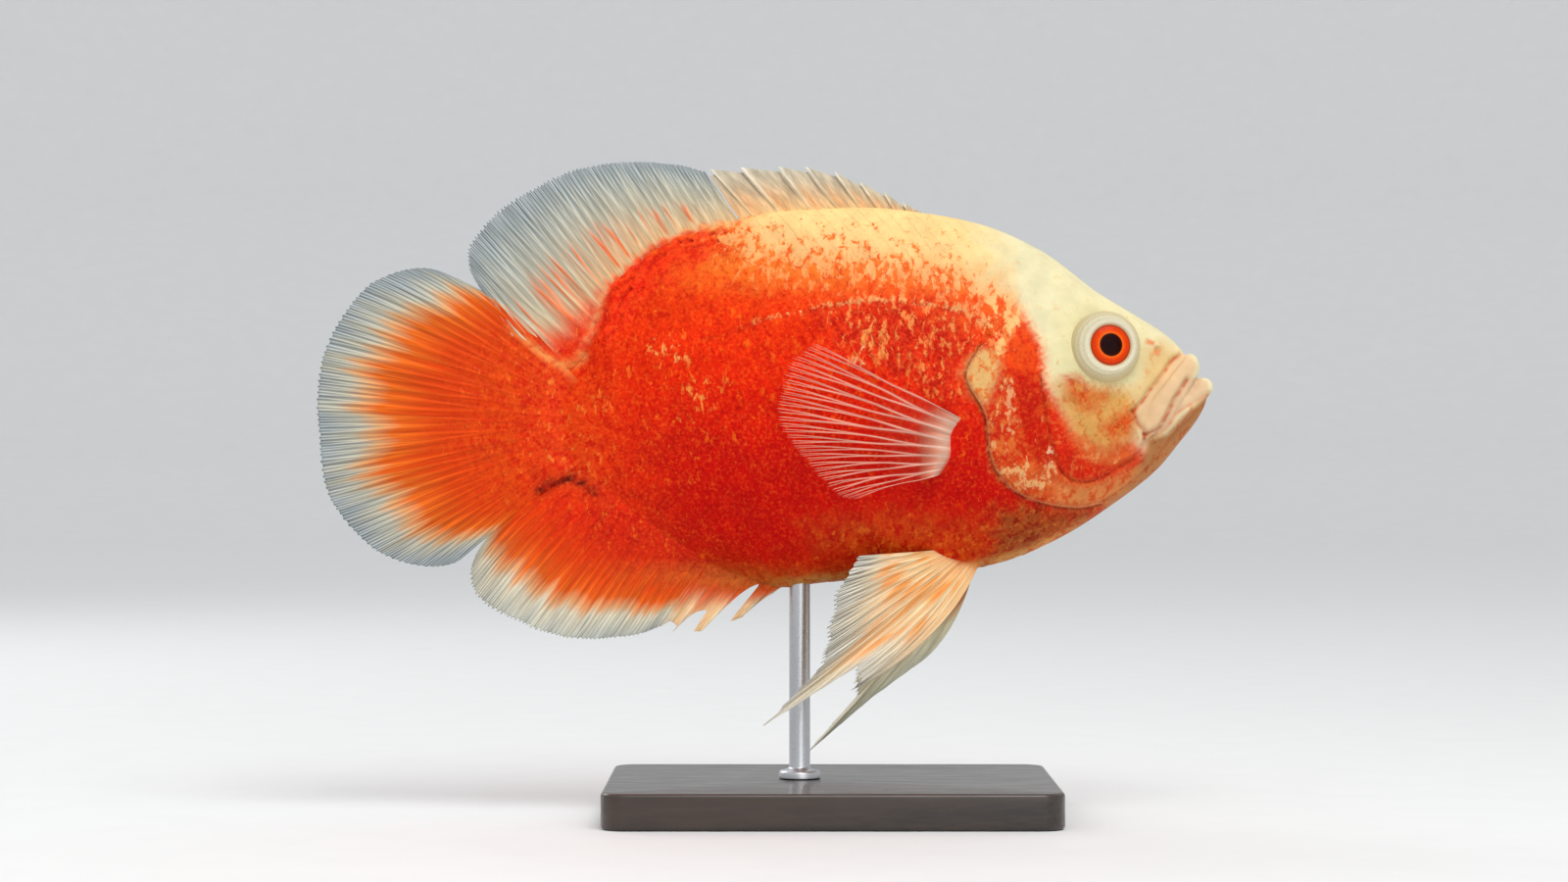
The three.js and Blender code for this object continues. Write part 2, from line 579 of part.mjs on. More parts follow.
add("dorsal_fin_spines", spinyDorsal(0), FINISH.paleFin);
add("dorsal_fin_soft", geometryOf(solid(softDorsal(0)).subtract(solid(spinyDorsal(GAP)))), FINISH.fin);
add("anal_fin", anal(0), FINISH.fin);
const cutCaudal = solid(caudal(0)).subtract(onBack).subtract(underTail);
add("caudal_fin", geometryOf(cutCaudal.simplify(SLIVER)), FINISH.fin);
SIDES.forEach(([name, side]) => {
  add(`pectoral_fin_${name}`, pectoral(side, 0), FINISH.paleFin);
  add(`pelvic_fin_${name}`, pelvic(name, side, 0), FINISH.paleFin);
});

add("stand_base", geometryOf(solid(standBase()).subtract(solid(standRod(GAP)))), FINISH.wood);
add("stand_rod", standRod(0), FINISH.steel);

export default fish;
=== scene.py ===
# %% [markdown]
# # A red oscar on a display stand
# The fish hangs in the water with its fins spread. Here it is a painted museum model: one skin
# with a coat of scales, eight fins, two eyes and a stand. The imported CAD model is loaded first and
# gives the frame: every piece below is built in metres, right where its solid is, so nothing has to
# be fitted afterwards.
# %% Load the frame
import math

import bpy
import numpy as np
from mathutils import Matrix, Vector
from mathutils.bvhtree import BVHTree


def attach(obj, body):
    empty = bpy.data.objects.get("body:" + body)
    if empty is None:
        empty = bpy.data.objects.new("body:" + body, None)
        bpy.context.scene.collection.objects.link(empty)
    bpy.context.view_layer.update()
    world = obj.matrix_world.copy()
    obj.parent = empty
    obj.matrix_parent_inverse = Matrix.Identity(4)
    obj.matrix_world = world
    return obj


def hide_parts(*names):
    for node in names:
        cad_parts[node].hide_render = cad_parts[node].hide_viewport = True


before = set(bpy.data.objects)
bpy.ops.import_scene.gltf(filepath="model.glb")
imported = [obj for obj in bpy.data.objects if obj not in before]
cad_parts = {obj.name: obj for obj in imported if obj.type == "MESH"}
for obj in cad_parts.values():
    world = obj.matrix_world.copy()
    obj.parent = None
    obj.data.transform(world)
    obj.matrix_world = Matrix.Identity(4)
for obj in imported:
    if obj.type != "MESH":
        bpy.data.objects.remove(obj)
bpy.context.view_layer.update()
print("The frame holds", len(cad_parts), "nodes")

# %% [markdown]
# ## The body's profiles
# A fish is easy to describe from the side: a line for the back, a line for the belly, and how wide
# it is at each place. The CAD solids were lofted from these same lines. A curve that goes through
# its points without overshooting them keeps a back from getting bumps that nobody drew.
# %% Smooth curves through points
def through(points):
    places, values = np.array(points).T
    steps = np.diff(values) / np.diff(places)
    before, after = steps[:-1], steps[1:]
    agree = before * after > 0
    slopes = np.zeros(len(places))
    slopes[1:-1] = np.where(agree, 2 * before * after / np.where(agree, before + after, 1), 0)

    def at(place):
        place = np.clip(place, places[0], places[-1])
        i = np.clip(np.searchsorted(places, place, side="right") - 1, 0, len(places) - 2)
        span = places[i + 1] - places[i]
        rise = values[i + 1] - values[i]
        share = (place - places[i]) / span
        bend = (1 - share) * (slopes[i] * span - rise) - share * (slopes[i + 1] * span - rise)
        return values[i] + rise * share + share * (1 - share) * bend

    return at


def ease(value, start, end):
    share = np.clip((value - start) / (end - start), 0, 1)
    return share * share * (3 - 2 * share)


def mix(first, second, share):
    return first + (second - first) * share


def bell(distance, width):
    """1 on a line, and nothing a couple of widths away from it"""
    return np.exp(-((distance / width) ** 2))


def read_off(where, places, rows):
    """Rows of numbers, read off between the places where they are given"""
    rows = np.array(rows)
    return np.stack([np.interp(where, places, rows[:, k]) for k in range(rows.shape[1])], axis=-1)

# %% [markdown]
# Heights are in metres above the floor, from the tail's base to the snout. A fullness of 2 makes the
# body's section an ellipse, less makes it leaner and more makes it squarer.
# %% The lines of the back and the belly
TAIL_BASE = -0.077
SNOUT = 0.1487
back = through([
    (-0.077, 0.148), (-0.0648, 0.1516), (-0.0596, 0.159), (-0.054, 0.176), (-0.045, 0.1858),
    (-0.0293, 0.1954), (-0.012, 0.1994), (0.0062, 0.2026), (0.034, 0.2036), (0.0553, 0.2014),
    (0.072, 0.198), (0.0918, 0.1895), (0.1115, 0.175), (0.1247, 0.167), (0.133, 0.1618), (0.1398, 0.1554),
    (0.1422, 0.149), (0.145, 0.1434), (0.1487, 0.1407),
])
belly = through([
    (-0.077, 0.114), (-0.0658, 0.1117), (-0.056, 0.1076), (-0.0464, 0.0989), (-0.0266, 0.0874),
    (-0.0069, 0.0794), (0.0062, 0.0761), (0.0194, 0.0778), (0.0391, 0.0792), (0.0589, 0.0806),
    (0.0786, 0.0844), (0.0984, 0.0925), (0.1181, 0.1051), (0.1312, 0.1155), (0.1395, 0.1254),
    (0.1438, 0.1308), (0.1474, 0.137), (0.1487, 0.1407),
])
half_width = through([
    (-0.077, 0.0012), (-0.071, 0.0024), (-0.066, 0.0038), (-0.06, 0.0057), (-0.055, 0.0074),
    (-0.04, 0.0112), (-0.02, 0.016), (0.0, 0.02), (0.025, 0.0232), (0.05, 0.0244), (0.068, 0.0242),
    (0.085, 0.0226), (0.1, 0.0202), (0.115, 0.017), (0.126, 0.0134), (0.134, 0.0102), (0.141, 0.0068),
    (0.146, 0.0034), (0.1487, 0.0004),
])
widest = through([(-0.077, 0.5), (0.02, 0.52), (0.08, 0.5), (0.115, 0.46), (0.1487, 0.45)])
upper_fullness = through(
    [(-0.077, 2), (-0.057, 1.55), (-0.02, 1.5), (0.02, 1.65), (0.07, 1.8), (0.095, 1.95),
     (0.118, 2.3), (0.1487, 2.1)]
)
lower_fullness = through([(-0.077, 2), (-0.045, 1.5), (-0.005, 1.75), (0.03, 2.1), (0.1487, 2)])
CHEEK_RISE = 0.0019


def middle(x):
    return mix(belly(x), back(x), widest(x))


def body_surface(x, turn, rise=0.0):
    up = np.sin(turn) > 0
    power = 2 / np.where(up, upper_fullness(x), lower_fullness(x))
    height = np.where(up, back(x) - middle(x), middle(x) - belly(x))
    z = middle(x) + np.sign(np.sin(turn)) * np.abs(np.sin(turn)) ** power * height
    out = np.sign(np.cos(turn)) * np.abs(np.cos(turn)) ** power * half_width(x)
    face = rise * (1 - ease(z, 0.150, 0.172)) * (1 - ease(x, 0.112, 0.134))
    return np.stack([x + 0 * turn, out + np.cos(turn) * face, z], axis=-1)


print("The body is", round(float(back(0.03) - belly(0.03)), 4), "m deep and",
      round(float(2 * half_width(0.05)), 4), "m wide")

# %% [markdown]
# ## Meshes from grids of points
# Nearly every form of a fish is a grid: rings round a body, or rows along a fin. These helpers turn
# such a grid into a mesh, finish a piece's modifiers, and keep numbers on its points for the paint.
# %% Mesh helpers
def shade_smooth(piece):
    piece.data.polygons.foreach_set("use_smooth", np.ones(len(piece.data.polygons), dtype=bool))


def make_mesh(name, points, faces):
    mesh = bpy.data.meshes.new(name)
    mesh.from_pydata(np.asarray(points, dtype=float).tolist(), [], faces)
    mesh.validate()
    piece = bpy.data.objects.new(name, mesh)
    bpy.context.collection.objects.link(piece)
    shade_smooth(piece)
    return piece


def places_of(piece, what="co"):
    values = np.empty(len(piece.data.vertices) * 3, dtype=np.float32)
    piece.data.vertices.foreach_get(what, values)
    return values.reshape(-1, 3).astype(float)


def move_points(piece, points):
    piece.data.vertices.foreach_set("co", points.astype(np.float32).ravel())
    piece.data.update()


def settle(piece):
    """Turns what the piece's modifiers make into its own plain mesh"""
    graph = bpy.context.evaluated_depsgraph_get()
    mesh = bpy.data.meshes.new_from_object(piece.evaluated_get(graph))
    piece.modifiers.clear()
    piece.data = mesh
    return piece


def keep_values(piece, name, values, kind=None):
    """Keeps a number, a colour or, if the kind says so, a vector for each point of the piece"""
    values = np.array(values, dtype=np.float32)
    kind = kind or ("FLOAT" if values.ndim == 1 else "FLOAT_COLOR")
    if kind == "FLOAT_COLOR":
        values = np.concatenate([values, np.ones((len(values), 1), dtype=np.float32)], axis=1)
    layer = piece.data.attributes.new(name, kind, "POINT")
    label = {"FLOAT": "value", "FLOAT_COLOR": "color", "FLOAT_VECTOR": "vector"}[kind]
    layer.data.foreach_set(label, values.ravel())


def ring_faces(count, around, first=0):
    faces = []
    for i in range(count - 1):
        for k in range(around):
            a, b = first + i * around + k, first + i * around + (k + 1) % around
            faces.append((a, b, b + around, a + around))
    return faces


def closed_tube(name, rings):
    """Rings of points, one after another, with each end drawn in to a point"""
    count, around = rings.shape[:2]
    points = np.concatenate([rings.reshape(-1, 3), [rings[0].mean(axis=0), rings[-1].mean(axis=0)]])
    faces = ring_faces(count, around)
    start, end = count * around, count * around + 1
    last = (count - 1) * around
    for k in range(around):
        following = (k + 1) % around
        faces += [(following, k, start), (last + k, last + following, end)]
    piece = make_mesh(name, points, faces)
    return outward(piece)


def outward(piece):
    """Turns all faces outwards: a closed mesh has a positive volume when they are"""
    mesh = piece.data
    mesh.calc_loop_triangles()
    corners = np.empty(len(mesh.loop_triangles) * 3, dtype=np.int32)
    mesh.loop_triangles.foreach_get("vertices", corners)
    a, b, c = places_of(piece)[corners].reshape(-1, 3, 3).transpose(1, 0, 2)
    if np.einsum("ij,ij->i", a, np.cross(b, c)).sum() < 0:
        mesh.flip_normals()
    return piece


# %% [markdown]
# ## Lines on the body
# Creases, the edge of the gill cover and the patches of colour are all drawn from the side, as
# lines and outlines in x and z. Two questions are asked about them again and again: how far is a
# point from this line, and is it inside this outline.
# %% Distances to lines and outlines
def distance_to(line, x, z):
    line = np.asarray(line)
    nearest = np.full(np.shape(x), np.inf)
    for (ax, az), (bx, bz) in zip(line[:-1], line[1:]):
        dx, dz = bx - ax, bz - az
        share = np.clip(((x - ax) * dx + (z - az) * dz) / (dx * dx + dz * dz), 0, 1)
        nearest = np.minimum(nearest, np.hypot(x - ax - share * dx, z - az - share * dz))
    return nearest


def inside(outline, x, z, soft):
    """1 well inside an outline and 0 well outside it, with a soft edge"""
    closed = [*outline, outline[0]]
    within = np.zeros(np.shape(x), dtype=bool)
    for (ax, az), (bx, bz) in zip(closed[:-1], closed[1:]):
        crosses = (az > z) != (bz > z)
        within ^= crosses & (x < ax + (bx - ax) * (z - az) / (bz - az + 1e-12))
    depth = distance_to(closed, x, z) * np.where(within, 1, -1)
    return ease(depth, -soft, soft)


def curve(points, count, closed=False):
    """A smooth curve through points (Catmull-Rom), at even steps of its length"""
    points = np.array(points, dtype=float)
    if closed:
        ends = np.concatenate([points[-1:], points, points[:2]])
    else:
        ends = np.concatenate([[2 * points[0] - points[1]], points, [2 * points[-1] - points[-2]]])
    t = np.linspace(0, 1, 24, endpoint=False)[:, None]
    pieces = []
    for a, b, c, d in zip(ends[:-3], ends[1:-2], ends[2:-1], ends[3:]):
        pieces.append(0.5 * (2 * b + (c - a) * t + (2 * a - 5 * b + 4 * c - d) * t**2
                             + (3 * b - a - 3 * c + d) * t**3))
    fine = np.concatenate([*pieces, ends[-2][None]])
    lengths = np.concatenate([[0], np.cumsum(np.linalg.norm(np.diff(fine, axis=0), axis=1))])
    shares = np.linspace(0, 1, count) if np.isscalar(count) else count
    return read_off(shares * lengths[-1], lengths, fine)


# %% [markdown]
# ## One skin
# The CAD has a head, a trunk, a tail stalk, gill covers and lips, because people name those parts.
# A real fish has one skin over all of them. So the same forms are made again, finer, and pushed
# into each other. A voxel remesh then wraps one surface round the lot, as clay would be smoothed
# over an armature. The head is its own shell, a little proud of the trunk, because the gill cover
# is a plate that lies over the trunk and ends in a free edge.
# %% The trunk and the shell of the head
GILL_EDGE = curve([
    (0.074, 0.1605), (0.0705, 0.1555), (0.0664, 0.148), (0.0674, 0.143), (0.0724, 0.134), (0.0739, 0.122),
    (0.077, 0.1144), (0.083, 0.1084), (0.0928, 0.1045), (0.104, 0.103), (0.112, 0.1044),
], 60)
turns = np.linspace(0, 2 * np.pi, 180, endpoint=False)


def loft(start, end, count, rise):
    stations = np.linspace(start, end, count)
    return body_surface(stations[:, None], turns[None, :], rise)


def prism(name, outline, half_depth):
    """A block with an outline in x and z, right through the body"""
    near = np.array([(x, -half_depth, z) for x, z in outline])
    far = near * [1, -1, 1]
    count = len(outline)
    faces = [tuple(range(count)), tuple(range(2 * count - 1, count - 1, -1))]
    faces += [(k, k + count, (k + 1) % count + count, (k + 1) % count) for k in range(count)]
    return outward(make_mesh(name, np.concatenate([near, far]), faces))


trunk = closed_tube("trunk", loft(TAIL_BASE, SNOUT - 0.0003, 320, 0))
head_shell = closed_tube("head_shell", loft(0.05, SNOUT - 0.0003, 160, CHEEK_RISE))
ahead_of_gills = [(0.074, 0.23), *GILL_EDGE, (0.12, 0.100), (0.12, 0.06), (0.17, 0.06), (0.17, 0.23)]
cutter = prism("cutter", ahead_of_gills, 0.04)
cut = head_shell.modifiers.new("Cut", "BOOLEAN")
cut.operation = "INTERSECT"
cut.solver = "EXACT"
cut.object = cutter
settle(head_shell)
bpy.data.objects.remove(cutter)
print("The head's shell has", len(head_shell.data.vertices), "points")

# %% [markdown]
# The lips are two fleshy rolls that follow half an ellipse round the mouth, in planes that slope
# back towards the corners. Below them sits the jaw, which is part of the loft.
# %% The lips
LIPS = {
    "upper": dict(corner=0.1276, length=0.0149, half=0.013, front=0.1501, slope=1.34, tall=0.0045,
                  deep=0.0031),
    "lower": dict(corner=0.1318, length=0.015, half=0.0108, front=0.1433, slope=1.0, tall=0.0032,
                  deep=0.0034),
}
LIP_REACH = math.radians(100)


def lip_rings(corner, length, half, front, slope, tall, deep):
    angles = np.linspace(-LIP_REACH, LIP_REACH, 70)
    x = corner + length * np.cos(angles)
    centre = np.stack([x, half * np.sin(angles), front - slope * (corner + length - x)], axis=1)
    along = np.gradient(centre, axis=0)
    along /= np.linalg.norm(along, axis=1)[:, None]
    out = np.stack([np.cos(angles) / length, np.sin(angles) / half, 0 * angles], axis=1)
    out /= np.linalg.norm(out, axis=1)[:, None]
    up = np.cross(along, out)
    up /= np.linalg.norm(up, axis=1)[:, None]
    taper = np.sqrt(1 - 0.8 * ease(np.abs(angles) / LIP_REACH, 0.75, 1))
    thinner = 1 - 0.2 * np.sin(angles) ** 2
    turn = np.linspace(0, 2 * np.pi, 28, endpoint=False)[None, :, None]
    wide = (deep * taper * thinner)[:, None, None]
    high = (tall * taper)[:, None, None]
    return centre[:, None] + np.cos(turn) * wide * out[:, None] + np.sin(turn) * high * up[:, None]


lips = [closed_tube(f"{name}_lip_form", lip_rings(**form)) for name, form in LIPS.items()]

# %% [markdown]
# The remesh takes the four forms as one mesh. Its voxels are under half a millimetre, small
# enough to keep the gill cover's edge, and a light smoothing takes away the voxels' own steps.
# %% Wrap one skin round the forms
VOXEL = 0.00045


def joined(name, pieces):
    points, faces, first = [], [], 0
    for piece in pieces:
        points.append(places_of(piece))
        faces += [tuple(first + corner for corner in face.vertices) for face in piece.data.polygons]
        first += len(piece.data.vertices)
        bpy.data.objects.remove(piece)
    return make_mesh(name, np.concatenate(points), faces)


skin = joined("skin", [trunk, head_shell, *lips])
wrap = skin.modifiers.new("Wrap", "REMESH")
wrap.mode = "VOXEL"
wrap.voxel_size = VOXEL
wrap.use_smooth_shade = True
relax = skin.modifiers.new("Relax", "SMOOTH")
relax.factor = 0.5
relax.iterations = 3
settle(skin)
print("The wrapped skin has", len(skin.data.polygons), "faces")

# %% [markdown]
# ## Creases and folds
# Now the skin gets what a sculptor would press into wet clay: the crease in front of the gill
# cover, the folds round the mouth, the nostrils, the lateral line, and the loose ridges where the
# back meets the rear fin. Each is a line with a depth and a width, and the points near it move
# along their normals.
# %% The lines of the head and the flank
CHEEK_CREASE = [
    (0.0908, 0.1477), (0.0913, 0.1423), (0.0922, 0.1366), (0.0931, 0.1309), (0.0942, 0.1258),
    (0.0954, 0.1213), (0.0967, 0.1173), (0.0988, 0.1141), (0.1016, 0.1123), (0.1047, 0.1115),
    (0.1084, 0.112), (0.1118, 0.1131), (0.1158, 0.1156), (0.1203, 0.118), (0.1249, 0.1205),
]
MOUTH_CORNER = [
    (0.1221, 0.1352), (0.1233, 0.1318), (0.1253, 0.1287), (0.1258, 0.1253), (0.1246, 0.1223),
    (0.1215, 0.119), (0.1178, 0.1171),
]
LIP_CREASE = [
    (0.1389, 0.154), (0.1358, 0.152), (0.1321, 0.1469), (0.128, 0.1421), (0.1251, 0.1382),
    (0.1221, 0.1352),
]
TAIL_RIM = [
    (-0.086, 0.1635), (-0.08, 0.159), (-0.074, 0.154), (-0.069, 0.1512), (-0.064, 0.1512),
    (-0.061, 0.154),
]
# A dark red line of painted shade in the fold between the tail stalk and the anal fin's rear root; it is
# painted only, not pressed
TAIL_FOLD_SHADOW = [(-0.0765, 0.108), (-0.0715, 0.1112), (-0.066, 0.1124), (-0.061, 0.1108), (-0.057, 0.1078)]
MOUTH_LINE = [
    (0.1404, 0.1455), (0.1379, 0.1416), (0.136, 0.1391), (0.1341, 0.1352), (0.1318, 0.131),
    (0.1299, 0.1289), (0.1263, 0.1274),
]
LOWER_LIP_CREASE = [
    (0.1471, 0.1407), (0.1435, 0.1385), (0.1402, 0.1366), (0.1363, 0.134), (0.1335, 0.1298),
    (0.13, 0.1273), (0.1263, 0.1268),
]
JAW_LINE = [
    (0.1118, 0.1046), (0.1181, 0.1088), (0.1237, 0.1128), (0.1283, 0.1173), (0.1322, 0.1224),
    (0.1369, 0.1287), (0.1419, 0.1357),
]
GILL_TOP = [(0.0606, 0.1667), (0.0638, 0.1678), (0.0681, 0.1661), (0.072, 0.1627), (0.0749, 0.1587)]
LATERAL_LINE = [
    (0.0704, 0.1643), (0.0647, 0.1677), (0.0556, 0.1695), (0.0465, 0.171), (0.0375, 0.1712),
    (0.0284, 0.1707), (0.0193, 0.1695), (0.0113, 0.1673), (0.0023, 0.1659), (-0.0057, 0.1632),
    (-0.0136, 0.1607), (-0.0216, 0.1586),
]

# %% [markdown]
# A crease pushes the skin in along its line and lifts it a little beside it. The edge of the gill
# cover gets a step and a thin rim, and the nostril is a pit. The lines are drawn from the side, so
# only skin that faces sideways is pushed.
# %% Press in the creases
CREASES = [
    # line, depth, width
    (CHEEK_CREASE, 0.0005, 0.0008), (MOUTH_CORNER, 0.0009, 0.0009), (LIP_CREASE, 0.0011, 0.0009),
    (MOUTH_LINE, 0.0014, 0.0009), (LOWER_LIP_CREASE, 0.0004, 0.0008), (JAW_LINE, 0.0003, 0.0006),
    (GILL_TOP, 0.0003, 0.0008), (LATERAL_LINE, 0.0003, 0.0006),
]
GILL_GAP = dict(depth=0.0007, width=0.0006)
GILL_RIM = dict(depth=0.0005, width=0.0011)
NOSTRIL = dict(x=0.1308, z=0.1558, radius=0.0010, depth=0.0011, rim=0.0003)
EYE = dict(x=0.1128, z=0.1566)

points = places_of(skin)
normals = places_of(skin, "normal")
x, y, z = points.T
side_on = ease(np.abs(normals[:, 1]), 0.15, 0.5)
lift = np.zeros(len(points))
for line, depth, width in CREASES:
    gap = distance_to(curve(line, 40), x, z)
    lift -= depth * bell(gap, width)
    lift += 0.2 * depth * bell(gap - 2.2 * width, 1.3 * width)
gill = distance_to(GILL_EDGE, x, z)
behind = 1 - inside(ahead_of_gills, x, z, 0.0002)
lift -= behind * GILL_GAP["depth"] * bell(gill, GILL_GAP["width"])
lift -= (1 - behind) * GILL_RIM["depth"] * bell(gill, GILL_RIM["width"])
hole = np.hypot(x - NOSTRIL["x"], z - NOSTRIL["z"]) / NOSTRIL["radius"]
lift += NOSTRIL["rim"] * bell(hole - 1.5, 0.5) - NOSTRIL["depth"] * np.exp(-(hole**4))

# %% [markdown]
# The rear of the back is loose and rippled, with ridges that run along the foot of the fin.
# %% Ripple the rear of the back
RIPPLED = [
    (-0.0595, 0.1598), (-0.0556, 0.168), (-0.0523, 0.1772), (-0.0464, 0.1838), (-0.0372, 0.191),
    (-0.028, 0.1956), (-0.0128, 0.1976), (-0.0128, 0.191), (-0.0266, 0.1871), (-0.0365, 0.1805),
    (-0.0437, 0.1729), (-0.0477, 0.1631), (-0.0523, 0.1575),
]
FIN_FOOT = curve([
    (-0.0622, 0.1535), (-0.0572, 0.165), (-0.0536, 0.1772), (-0.0477, 0.1835), (-0.0385, 0.1907),
    (-0.0293, 0.1956), (-0.0141, 0.1979),
], 40)
RIPPLE = dict(wave=0.0038, height=0.0005)


def ripples(x, z):
    """The loose skin's ridges: 1 on a crest, -1 in a fold, and 0 where the skin is tight"""
    turn = distance_to(FIN_FOOT, x, z) * 2 * np.pi / RIPPLE["wave"]
    return inside(RIPPLED, x, z, 0.004) * np.sin(turn + 1.8 * np.sin(x * 300) + 1.5 * np.sin(z * 410))


lift += RIPPLE["height"] * ripples(x, z)
points += normals * (lift * side_on)[:, None]
move_points(skin, points)

# %% [markdown]
# The skin is now far finer than it has to be. Decimate merges faces where that costs least, and a
# vertex group can keep it away from a place: the trunk will be covered with scales and is thinned
# first, so that the bare head keeps most of its detail when all of the skin is thinned after it.
# %% Thin the trunk, then the whole skin
SKIN_TRIANGLES = 192000
TRUNK_TRIANGLES = 64000
TRUNK_END = 0.068


def triangles_of(piece):
    piece.data.calc_loop_triangles()
    return len(piece.data.loop_triangles)


def thin_to(piece, triangles, group=""):
    thin = piece.modifiers.new("Thin", "DECIMATE")
    thin.ratio = triangles / triangles_of(piece)
    thin.vertex_group = group
    settle(piece)


on_trunk = places_of(skin)[:, 0] < TRUNK_END
skin.vertex_groups.new(name="trunk").add(np.flatnonzero(on_trunk).tolist(), 1.0, "REPLACE")
head_triangles = int(triangles_of(skin) * (1 - on_trunk.mean()))
thin_to(skin, head_triangles + TRUNK_TRIANGLES, "trunk")
skin.vertex_groups.clear()
thin_to(skin, SKIN_TRIANGLES)
shade_smooth(skin)
on_head = int((places_of(skin)[:, 0] > TRUNK_END).sum())
print("The finished skin has", len(skin.data.polygons), "faces;", on_head, "of its points are on the head")

# %% [markdown]
# ## The markings
# The fish's colours are painted in layers, the way an airbrush would. Every place has a ground
# colour, a second colour that mottles it, and a pale colour that lies over both in broken flecks. How
# much of each shows is painted too; the finish below breaks those shares up with noise. Skin, scales
# and the roots of the fins ask the same function, so a patch runs on over all of them.
# %% Colours
def tone(colour):
    """A colour as it is seen, 0 to 255, as the linear values that Blender works with"""
    seen = np.array(colour) / 255
    return np.where(seen <= 0.04045, seen / 12.92, ((seen + 0.055) / 1.055) ** 2.4)


def layered(where, stops):
    """A colour for each place on a scale, from colours that are given at some places of it"""
    return read_off(where, [place for place, _ in stops], [tone(colour) for _, colour in stops])


def over(below, colour, weight):
    """One colour laid over others, as strongly as the weight says for each point"""
    return mix(below, tone(colour), weight[:, None])


FLANK = [
    # height, ground colour; darker low down, partly the fish's own red and partly painted shade from the
    # light above
    (0.078, (206, 110, 42)), (0.086, (206, 36, 6)), (0.100, (204, 8, 2)), (0.120, (214, 14, 3)),
    (0.140, (230, 32, 3)), (0.160, (242, 46, 5)), (0.172, (246, 60, 8)), (0.182, (248, 108, 30)),
]
# The second and third colours are a painted shadow behind the gill cover's edge and a painted highlight
# along its rim
GLOW, GILL_SHADOW, GILL_HIGHLIGHT = (250, 118, 24), (96, 20, 8), (240, 170, 116)
CREAM, HEAD_CREAM, PEACH = (246, 212, 142), (230, 219, 174), (226, 190, 146)

# %% [markdown]
# The patches follow one after another, and a later one lies over an earlier one. Each is an outline
# seen from the side, how soft its edge is, and what it changes.
# %% Patches of the flank
CREAM_BACK = [
    (-0.024, 0.204), (-0.0142, 0.199), (-0.0051, 0.1889), (0.013, 0.1849), (0.0331, 0.1839),
    (0.0533, 0.1809), (0.0694, 0.1738), (0.0795, 0.1708), (0.0875, 0.1668), (0.0936, 0.1587),
    (0.0956, 0.1466), (0.15, 0.146), (0.15, 0.23), (-0.024, 0.23),
]
NAPE = [(0.066, 0.23), (0.076, 0.19), (0.084, 0.172), (0.095, 0.16), (0.15, 0.15), (0.15, 0.23)]
CRUSTED = [
    (0.017, 0.1678), (0.0284, 0.1704), (0.0465, 0.1709), (0.0556, 0.1691), (0.0647, 0.167),
    (0.0704, 0.1627), (0.0726, 0.1559), (0.0672, 0.1525), (0.0647, 0.1457), (0.067, 0.1355),
    (0.0556, 0.14), (0.0465, 0.1446), (0.0306, 0.1525), (0.0227, 0.1582),
]
